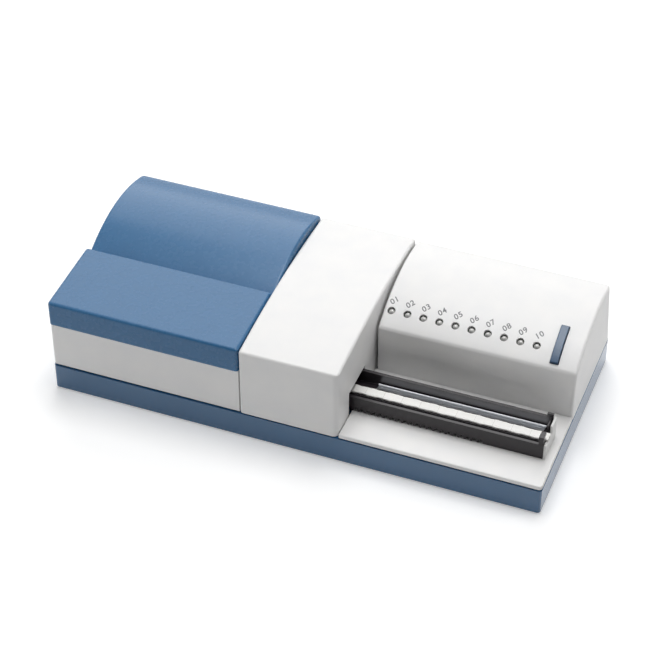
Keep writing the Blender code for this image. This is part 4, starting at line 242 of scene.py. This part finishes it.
class Look:
    """A Principled material whose colour, gloss and grain come from nodes in the object's space."""

    def __init__(self, name):
        self.material = bpy.data.materials.new(name)
        self.material.use_nodes = True
        self.tree = self.material.node_tree
        self.shader = self.tree.nodes["Principled BSDF"]
        self.place = self.node("ShaderNodeTexCoord").outputs["Object"]

    def node(self, kind, **values):
        made = self.tree.nodes.new(kind)
        for name, value in values.items():
            setattr(made, name, value)
        return made

    def wire(self, out, into):
        self.tree.links.new(out, into)

    def fixed(self, **values):
        """Plain values of the shader's inputs, with _ for each space in a name."""
        for name, value in values.items():
            self.shader.inputs[name.replace("_", " ")].default_value = value
        return self

    def noise(self, size, detail=FULL_DETAIL, stretch=EVEN):
        """Noise whose spots are about that size, in metres."""
        texture = self.node("ShaderNodeTexNoise")
        texture.inputs["Scale"].default_value = 1 / size
        texture.inputs["Detail"].default_value = detail
        mapping = self.node("ShaderNodeMapping")
        mapping.inputs["Scale"].default_value = stretch
        self.wire(self.place, mapping.inputs["Vector"])
        self.wire(mapping.outputs["Vector"], texture.inputs["Vector"])
        return texture.outputs["Fac"]

    def spread(self, value, low, high, into=None, low_in=NOISE_LOW, high_in=NOISE_HIGH):
        """The value mapped from its range to low and high, and no further."""
        mapped = self.node("ShaderNodeMapRange")
        mapped.inputs["From Min"].default_value = low_in
        mapped.inputs["From Max"].default_value = high_in
        mapped.inputs["To Min"].default_value = low
        mapped.inputs["To Max"].default_value = high
        self.wire(value, mapped.inputs["Value"])
        if into is not None:
            self.wire(mapped.outputs["Result"], into)
        return mapped.outputs["Result"]

    def blend(self, share, first, second, into=None):
        """first where share is 0 and second where it is 1. Each is a colour or an output."""
        mix = self.node("ShaderNodeMix", data_type="RGBA")
        for socket, value in (("A", first), ("B", second)):
            target = [s for s in mix.inputs if s.name == socket and s.type == "RGBA"][0]
            if isinstance(value, bpy.types.NodeSocket):
                self.wire(value, target)
            else:
                target.default_value = (*value, 1)
        self.wire(share, mix.inputs["Factor"])
        out = [s for s in mix.outputs if s.type == "RGBA"][0]
        if into is not None:
            self.wire(out, into)
        return out

    def mottle(self, tones, size, stretch=EVEN):
        """Two tones in patches, as the base colour."""
        share = self.spread(self.noise(size, PATCH_DETAIL, stretch), 0.0, 1.0)
        return self.blend(share, *tones, self.shader.inputs["Base Color"])

    def gloss(self, roughness, size):
        """Roughness that wanders a little around its value, in patches."""
        self.spread(self.noise(size, PATCH_DETAIL), roughness * ROUGH_LOW_SHARE,
                    roughness * ROUGH_HIGH_SHARE, self.shader.inputs["Roughness"])

    def relief(self, heights, edge=None):
        """heights lists (output, depth in metres). edge is the radius of the worn corners."""
        normal = None
        if edge:
            bevel = self.node("ShaderNodeBevel", samples=BEVEL_SAMPLES)
            bevel.inputs["Radius"].default_value = edge
            normal = bevel.outputs["Normal"]
        for height, depth in heights:
            bump = self.node("ShaderNodeBump")
            bump.inputs["Distance"].default_value = depth
            self.wire(height, bump.inputs["Height"])
            if normal is not None:
                self.wire(normal, bump.inputs["Normal"])
            normal = bump.outputs["Normal"]
        self.wire(normal, self.shader.inputs["Normal"])
        return self


def plastic(name, colour, other, roughness, grain=PLASTIC_GRAIN, depth=PLASTIC_DEPTH,
            patch=PLASTIC_PATCH, edge=PLASTIC_EDGE, coat=0.0):
    """Moulded plastic: spark-eroded grain, faint patches of tone and of gloss."""
    look = Look(name).fixed(IOR=PLASTIC_IOR, Coat_Weight=coat,
                            Coat_Roughness=PLASTIC_COAT_ROUGHNESS)
    look.mottle((colour, other), patch)
    look.gloss(roughness, patch * PATCH_GLOSS_SHARE)
    swell = look.noise(patch * PATCH_SWELL_TIMES, SWELL_DETAIL)
    return look.relief([(look.noise(grain, GRAIN_DETAIL), depth),
                        (swell, depth * PATCH_DEPTH_TIMES)], edge)


def metal(name, colour, other, roughness):
    """Metal with fine lines drawn along one way."""
    look = Look(name).fixed(Metallic=1.0)
    look.mottle((colour, other), METAL_GRAIN, METAL_LINES)
    look.gloss(roughness, METAL_GLOSS_PATCH)
    lines = look.noise(METAL_GRAIN, GRAIN_DETAIL, METAL_LINES)
    return look.relief([(lines, METAL_DEPTH)], METAL_EDGE)


def rubber():
    """Dark grained rubber of the feet and the platen."""
    look = Look("rubber").fixed(IOR=PLASTIC_IOR)
    look.mottle(RUBBER_TONES, RUBBER_PATCH)
    look.gloss(RUBBER_ROUGHNESS, RUBBER_PATCH)
    return look.relief([(look.noise(RUBBER_GRAIN, PATCH_DETAIL), RUBBER_DEPTH)], RUBBER_EDGE)


def lamp_glass():
    """Cast epoxy over a pale cup, as an unlit lamp shows, with painted shade at its front."""
    look = Look("lamp_glass").fixed(IOR=LAMP_IOR, Transmission_Weight=LAMP_CLEARNESS,
                                    Coat_Weight=1.0, Coat_Roughness=LAMP_COAT_ROUGHNESS)
    low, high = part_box("lamp_01")
    parts = look.node("ShaderNodeSeparateXYZ")
    look.wire(look.place, parts.inputs["Vector"])
    front, rear = (low.y + (high.y - low.y) * share for share in LAMP_PAINTED_SHADE_SHARES)
    # clear runs from the painted shade at the lamp's front to its own pale tone.
    clear = look.spread(parts.outputs["Y"], 0.0, 1.0, None, front, rear)
    tone = look.mottle(LAMP_TONES, LAMP_PATCH)
    look.blend(clear, LAMP_PAINTED_SHADE_TONE, tone, look.shader.inputs["Base Color"])
    look.gloss(LAMP_ROUGHNESS, LAMP_PATCH)
    return look.relief([(look.noise(LAMP_PATCH, SWELL_DETAIL), LAMP_DEPTH)])


def lens_glass():
    """Clear lens of the read head."""
    look = Look("lens_glass").fixed(IOR=LENS_IOR, Transmission_Weight=LENS_CLEARNESS)
    look.mottle(LENS_TONES, LENS_PATCH)
    look.gloss(LENS_ROUGHNESS, LENS_PATCH)
    return look.relief([(look.noise(LENS_PATCH, SWELL_DETAIL), LENS_DEPTH)])


def board():
    """Green lacquered board with copper runs under the lacquer."""
    look = Look("board").fixed(IOR=PLASTIC_IOR)
    runs = look.node("ShaderNodeTexBrick")
    runs.inputs["Scale"].default_value = 1 / BOARD_CELL
    runs.inputs["Mortar Size"].default_value = BOARD_RUN_SHARE
    runs.inputs["Mortar Smooth"].default_value = BOARD_RUN_BLUR
    look.wire(look.place, runs.inputs["Vector"])
    tone = look.blend(look.spread(look.noise(BOARD_PATCH), 0.0, 1.0), *BOARD_TONES)
    look.blend(runs.outputs["Fac"], tone, BOARD_RUN_TONE, look.shader.inputs["Base Color"])
    look.gloss(BOARD_ROUGHNESS, BOARD_PATCH)
    return look.relief([(runs.outputs["Fac"], BOARD_RUN_DEPTH),
                        (look.noise(BOARD_GRAIN), BOARD_GRAIN_DEPTH)])


def paper():
    """Wound paper: fine rings on the ends of the roll and faint fibres on its face."""
    low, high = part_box("paper_roll")
    look = Look("paper")
    shift = look.node("ShaderNodeMapping")
    shift.inputs["Location"].default_value = -(low + high) / 2
    look.wire(look.place, shift.inputs["Vector"])
    rings = look.node("ShaderNodeTexWave", wave_type="RINGS", rings_direction="X")
    rings.inputs["Scale"].default_value = 1 / PAPER_RING
    rings.inputs["Distortion"].default_value = PAPER_RING_WANDER
    look.wire(shift.outputs["Vector"], rings.inputs["Vector"])
    look.blend(rings.outputs["Fac"], *PAPER_TONES, look.shader.inputs["Base Color"])
    look.gloss(PAPER_ROUGHNESS, PAPER_RING)
    return look.relief([(rings.outputs["Fac"], PAPER_RING_DEPTH),
                        (look.noise(PAPER_FIBRE), PAPER_FIBRE_DEPTH)])


def strip_face():
    """White strip: test fields with thin joins, each of its own faint tone, over soft fibres."""
    low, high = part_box("strip_bed")
    look = Look("strip_plastic").fixed(IOR=PLASTIC_IOR)
    parts = look.node("ShaderNodeSeparateXYZ")
    look.wire(look.place, parts.inputs["Vector"])
    along = look.spread(parts.outputs["X"], 0.0, FIELD_COUNT, None, low.x, high.x)
    cell = look.node("ShaderNodeMath", operation="FLOOR")
    look.wire(along, cell.inputs[0])
    random = look.node("ShaderNodeTexWhiteNoise", noise_dimensions="1D")
    look.wire(cell.outputs[0], random.inputs["W"])
    tone = look.blend(random.outputs["Value"], *FIELD_TONES)
    part = look.node("ShaderNodeMath", operation="FRACT")
    look.wire(along, part.inputs[0])
    join = look.node("ShaderNodeMath", operation="LESS_THAN")
    look.wire(part.outputs[0], join.inputs[0])
    join.inputs[1].default_value = FIELD_JOIN_SHARE
    shown = look.blend(join.outputs[0], tone, FIELD_JOIN_TONE)
    fibres = look.noise(FIELD_FIBRE, FIBRE_DETAIL, FIELD_FIBRE_STRETCH)
    fibre = look.spread(fibres, 0.0, FIELD_FIBRE_SHARE)
    look.blend(fibre, shown, FIELD_FIBRE_TONE, look.shader.inputs["Base Color"])
    look.gloss(FIELD_ROUGHNESS, FIELD_SWELL)
    return look.relief([(look.noise(FIELD_GRAIN), FIELD_GRAIN_DEPTH),
                        (look.noise(FIELD_SWELL, GRAIN_DETAIL), FIELD_SWELL_DEPTH)], FIELD_EDGE)


def print_ink():
    """Grey ink of the printed numbers."""
    look = Look("print_ink").fixed(IOR=PLASTIC_IOR)
    look.mottle(INK_TONES, INK_PATCH)
    look.gloss(INK_ROUGHNESS, INK_PATCH)
    return look.relief([(look.noise(INK_PATCH, GRAIN_DETAIL), INK_DEPTH)])


LOOKS = {name: plastic(name + "_look", **values) for name, values in PLASTICS.items()}
LOOKS.update({name: metal(name + "_look", **values) for name, values in METALS.items()})
LOOKS.update(rubber=rubber(), lamp_glass=lamp_glass(), lens_glass=lens_glass(), board=board(),
             paper=paper(), strip_plastic=strip_face())
PRINT = print_ink()


def shade(piece, sharp):
    """Smooth faces, split only where two of them meet at more than an angle."""
    mesh = piece.data
    mesh.polygons.foreach_set("use_smooth", [True] * len(mesh.polygons))
    split = piece.modifiers.new("split", "EDGE_SPLIT")
    split.split_angle = sharp
    split.use_edge_sharp = False


def finish_node(node):
    """New material, and normals that run smooth over the rounded faces."""
    for place in node.material_slots:
        place.material = LOOKS[place.material.name].material
    attributes = node.data.attributes
    for name in ("custom_normal", "sharp_edge", "sharp_face"):
        if name in attributes:
            attributes.remove(attributes[name])
    weld = node.modifiers.new("weld", "WELD")
    weld.merge_threshold = WELD
    shade(node, SHARP)
    weighted = node.modifiers.new("weighted", "WEIGHTED_NORMAL")
    weighted.weight = FACE_WEIGHT
    weighted.keep_sharp = True


def link(name, mesh, look, body):
    """A piece of the scene's own, riding on a body and coloured as a slot."""
    piece = bpy.data.objects.new(name, mesh)
    bpy.context.scene.collection.objects.link(piece)
    mesh.materials.append(look.material)
    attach(piece, body)
    return piece


def panel_height(x, y):
    """Height of the panel's top over a place, from the housing itself."""
    housing = NODES["panel_housing"]
    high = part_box("panel_housing")[1].z + PANEL_PROBE_LIFT
    hit, point = housing.ray_cast(Vector((x, y, high)), Vector((0, 0, -1)))[:2]
    return point.z if hit else high


def number_shape(number):
    """One number as a flat mesh about its own origin."""
    text = bpy.data.curves.new("number", "FONT")
    text.body = f"{number:02d}"
    text.size = NUMBER_SIZE
    text.offset = NUMBER_WEIGHT
    text.space_character = NUMBER_SPACING
    text.resolution_u = NUMBER_CURVE_STEPS
    helper = bpy.data.objects.new("number", text)
    bpy.context.scene.collection.objects.link(helper)
    bpy.context.view_layer.update()
    shape = bpy.data.meshes.new_from_object(helper)
    bpy.data.objects.remove(helper)
    return shape


def lamp_numbers():
    """Plain numbers printed beside the lamps, each laid on the curved top."""
    joined = bmesh.new()
    for number in range(1, NUMBER_COUNT + 1):
        low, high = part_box(f"lamp_{number:02d}")
        shape = number_shape(number)
        shape.transform(Matrix.Rotation(NUMBER_SLANT, 4, "Z"))
        shape.transform(Matrix.Translation(((low.x + high.x) / 2 + NUMBER_RIGHT,
                                            (low.y + high.y) / 2 + NUMBER_BEHIND, 0)))
        joined.from_mesh(shape)
        bpy.data.meshes.remove(shape)
    for vertex in joined.verts:
        vertex.co.z = panel_height(vertex.co.x, vertex.co.y) + NUMBER_LIFT
    mesh = bpy.data.meshes.new("lamp_numbers")
    joined.to_mesh(mesh)
    joined.free()
    link("lamp_numbers", mesh, PRINT, "case")


def strip_section(x, low, high):
    """The strip's outline at a place along it, from front foot over the top to rear foot."""
    reach = sum(size for length, size, phase in STRIP_WAVES)
    front = low.y + reach
    rear = high.y - reach
    lift = 0.0
    for length, size, phase in STRIP_WAVES:
        rear_length = length * STRIP_REAR_STRETCH
        top_length = length * STRIP_TOP_STRETCH
        front += size * math.sin(math.tau * x / length + phase)
        rear += size * math.sin(math.tau * x / rear_length + phase * STRIP_REAR_PHASE)
        lift += size * math.sin(math.tau * x / top_length + phase)
    top = high.z - STRIP_SAG + lift * STRIP_SAG / reach
    cut = STRIP_CORNER * STRIP_CORNER_SHARE
    return [(front, low.z), (front, top - STRIP_CORNER),
            (front + cut, top - cut), (front + STRIP_CORNER, top),
            (rear - STRIP_CORNER, top), (rear - cut, top - cut),
            (rear, top - STRIP_CORNER), (rear, low.z)]


def strip_face_piece():
    """The white strip with its soft, slightly uneven edges and rounded top corners."""
    low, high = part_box("strip_bed")
    made = bmesh.new()
    rings = []
    for i in range(STRIP_STEPS + 1):
        x = low.x + (high.x - low.x) * i / STRIP_STEPS
        rings.append([made.verts.new((x, y, z)) for y, z in strip_section(x, low, high)])
    for one, two in zip(rings, rings[1:]):
        for a in range(len(one)):
            b = (a + 1) % len(one)
            made.faces.new((one[a], one[b], two[b], two[a]))
    made.faces.new(rings[0])
    made.faces.new(list(reversed(rings[-1])))
    bmesh.ops.recalc_face_normals(made, faces=made.faces)
    mesh = bpy.data.meshes.new("strip_face")
    made.to_mesh(mesh)
    made.free()
    piece = link("strip_face", mesh, LOOKS["strip_plastic"], "tray")
    shade(piece, STRIP_SHARP)
    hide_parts("strip_bed")


def rays_that_see(tree, names):
    """1 for the named kinds of ray."""
    path = tree.nodes.new("ShaderNodeLightPath")
    total = path.outputs[names[0]]
    for name in names[1:]:
        add = tree.nodes.new("ShaderNodeMath")
        add.operation = "MAXIMUM"
        tree.links.new(total, add.inputs[0])
        tree.links.new(path.outputs[name], add.inputs[1])
        total = add.outputs[0]
    return total


def floor():
    """White floor, which takes the object's shadow and runs out to white behind it."""
    bpy.ops.mesh.primitive_plane_add(size=FLOOR_SIZE)
    plane = bpy.context.object
    plane.name = "floor"
    material = bpy.data.materials.new("floor")
    material.use_nodes = True
    tree = material.node_tree
    shader = tree.nodes["Principled BSDF"]
    shader.inputs["Base Color"].default_value = FLOOR_COLOUR
    shader.inputs["Roughness"].default_value = FLOOR_ROUGHNESS
    shader.inputs["Specular IOR Level"].default_value = FLOOR_SHEEN
    place = tree.nodes.new("ShaderNodeTexCoord")
    away = tree.nodes.new("ShaderNodeVectorMath")
    away.operation = "LENGTH"
    tree.links.new(place.outputs["Object"], away.inputs[0])
    reach = tree.nodes.new("ShaderNodeMapRange")
    reach.inputs["From Min"].default_value = FLOOR_GLOW_START
    reach.inputs["From Max"].default_value = FLOOR_GLOW_END
    reach.inputs["To Min"].default_value = FLOOR_GLOW
    reach.inputs["To Max"].default_value = FAR_FLOOR_GLOW
    tree.links.new(away.outputs["Value"], reach.inputs["Value"])
    glow = tree.nodes.new("ShaderNodeMath")
    glow.operation = "MULTIPLY"
    tree.links.new(reach.outputs["Result"], glow.inputs[1])
    seeing = rays_that_see(tree, ("Is Camera Ray", "Is Glossy Ray", "Is Transmission Ray"))
    tree.links.new(seeing, glow.inputs[0])
    shader.inputs["Emission Color"].default_value = WHITE_LIGHT
    tree.links.new(glow.outputs[0], shader.inputs["Emission Strength"])
    plane.data.materials.append(material)


def sky():
    """White for the camera and clear pieces, the studio in gloss, faint light on the object."""
    world = bpy.data.worlds.new("studio")
    bpy.context.scene.world = world
    world.use_nodes = True
    tree = world.node_tree
    back = tree.nodes["Background"]
    back.inputs["Color"].default_value = WHITE_LIGHT
    way = tree.nodes.new("ShaderNodeTexCoord")
    parts = tree.nodes.new("ShaderNodeSeparateXYZ")
    tree.links.new(way.outputs["Generated"], parts.inputs["Vector"])
    studio = tree.nodes.new("ShaderNodeMapRange")
    studio.interpolation_type = "SMOOTHSTEP"
    studio.inputs["From Min"].default_value = SKY_VIEWER_SHARE
    studio.inputs["From Max"].default_value = SKY_WHITE_SHARE
    studio.inputs["To Min"].default_value = SKY_VIEWER
    studio.inputs["To Max"].default_value = SKY_WHITE
    tree.links.new(parts.outputs["Y"], studio.inputs["Value"])
    in_gloss = tree.nodes.new("ShaderNodeMapRange")
    in_gloss.inputs["To Min"].default_value = SKY_LIGHT
    tree.links.new(studio.outputs["Result"], in_gloss.inputs["To Max"])
    tree.links.new(rays_that_see(tree, ("Is Glossy Ray",)), in_gloss.inputs["Value"])
    seen = tree.nodes.new("ShaderNodeMapRange")
    tree.links.new(in_gloss.outputs["Result"], seen.inputs["To Min"])
    seen.inputs["To Max"].default_value = SKY_WHITE
    seeing = rays_that_see(tree, ("Is Camera Ray", "Is Transmission Ray"))
    tree.links.new(seeing, seen.inputs["Value"])
    tree.links.new(seen.outputs["Result"], back.inputs["Strength"])


def softbox(name, place, side, power):
    """Square lamp that faces the object."""
    light = bpy.data.lights.new(name, "AREA")
    light.energy = power
    light.size = side
    lamp = bpy.data.objects.new(name, light)
    bpy.context.scene.collection.objects.link(lamp)
    lamp.location = place
    lamp.rotation_mode = "QUATERNION"
    lamp.rotation_quaternion = (Vector(AIM) - Vector(place)).to_track_quat("-Z", "Y")


def camera():
    """The camera from which the photo was taken, as fitted."""
    view = bpy.data.cameras.new("camera")
    view.lens = CAMERA_LENS
    view.sensor_width = CAMERA_SENSOR
    view.clip_start = CAMERA_NEAR
    view.clip_end = CAMERA_FAR
    eye = bpy.data.objects.new("camera", view)
    bpy.context.scene.collection.objects.link(eye)
    eye.location = CAMERA_TARGET + CAMERA_BACK.normalized() * CAMERA_DISTANCE
    eye.rotation_mode = "QUATERNION"
    eye.rotation_quaternion = ((-CAMERA_BACK).to_track_quat("-Z", "Y").to_matrix()
                               @ Matrix.Rotation(CAMERA_ROLL, 3, "Z")).to_quaternion()
    bpy.context.scene.camera = eye


for carried in NODES.values():
    finish_node(carried)
lamp_numbers()
strip_face_piece()
floor()
sky()
for box in SOFTBOXES:
    softbox(*box)
camera()
bpy.context.scene.view_settings.view_transform = "Standard"
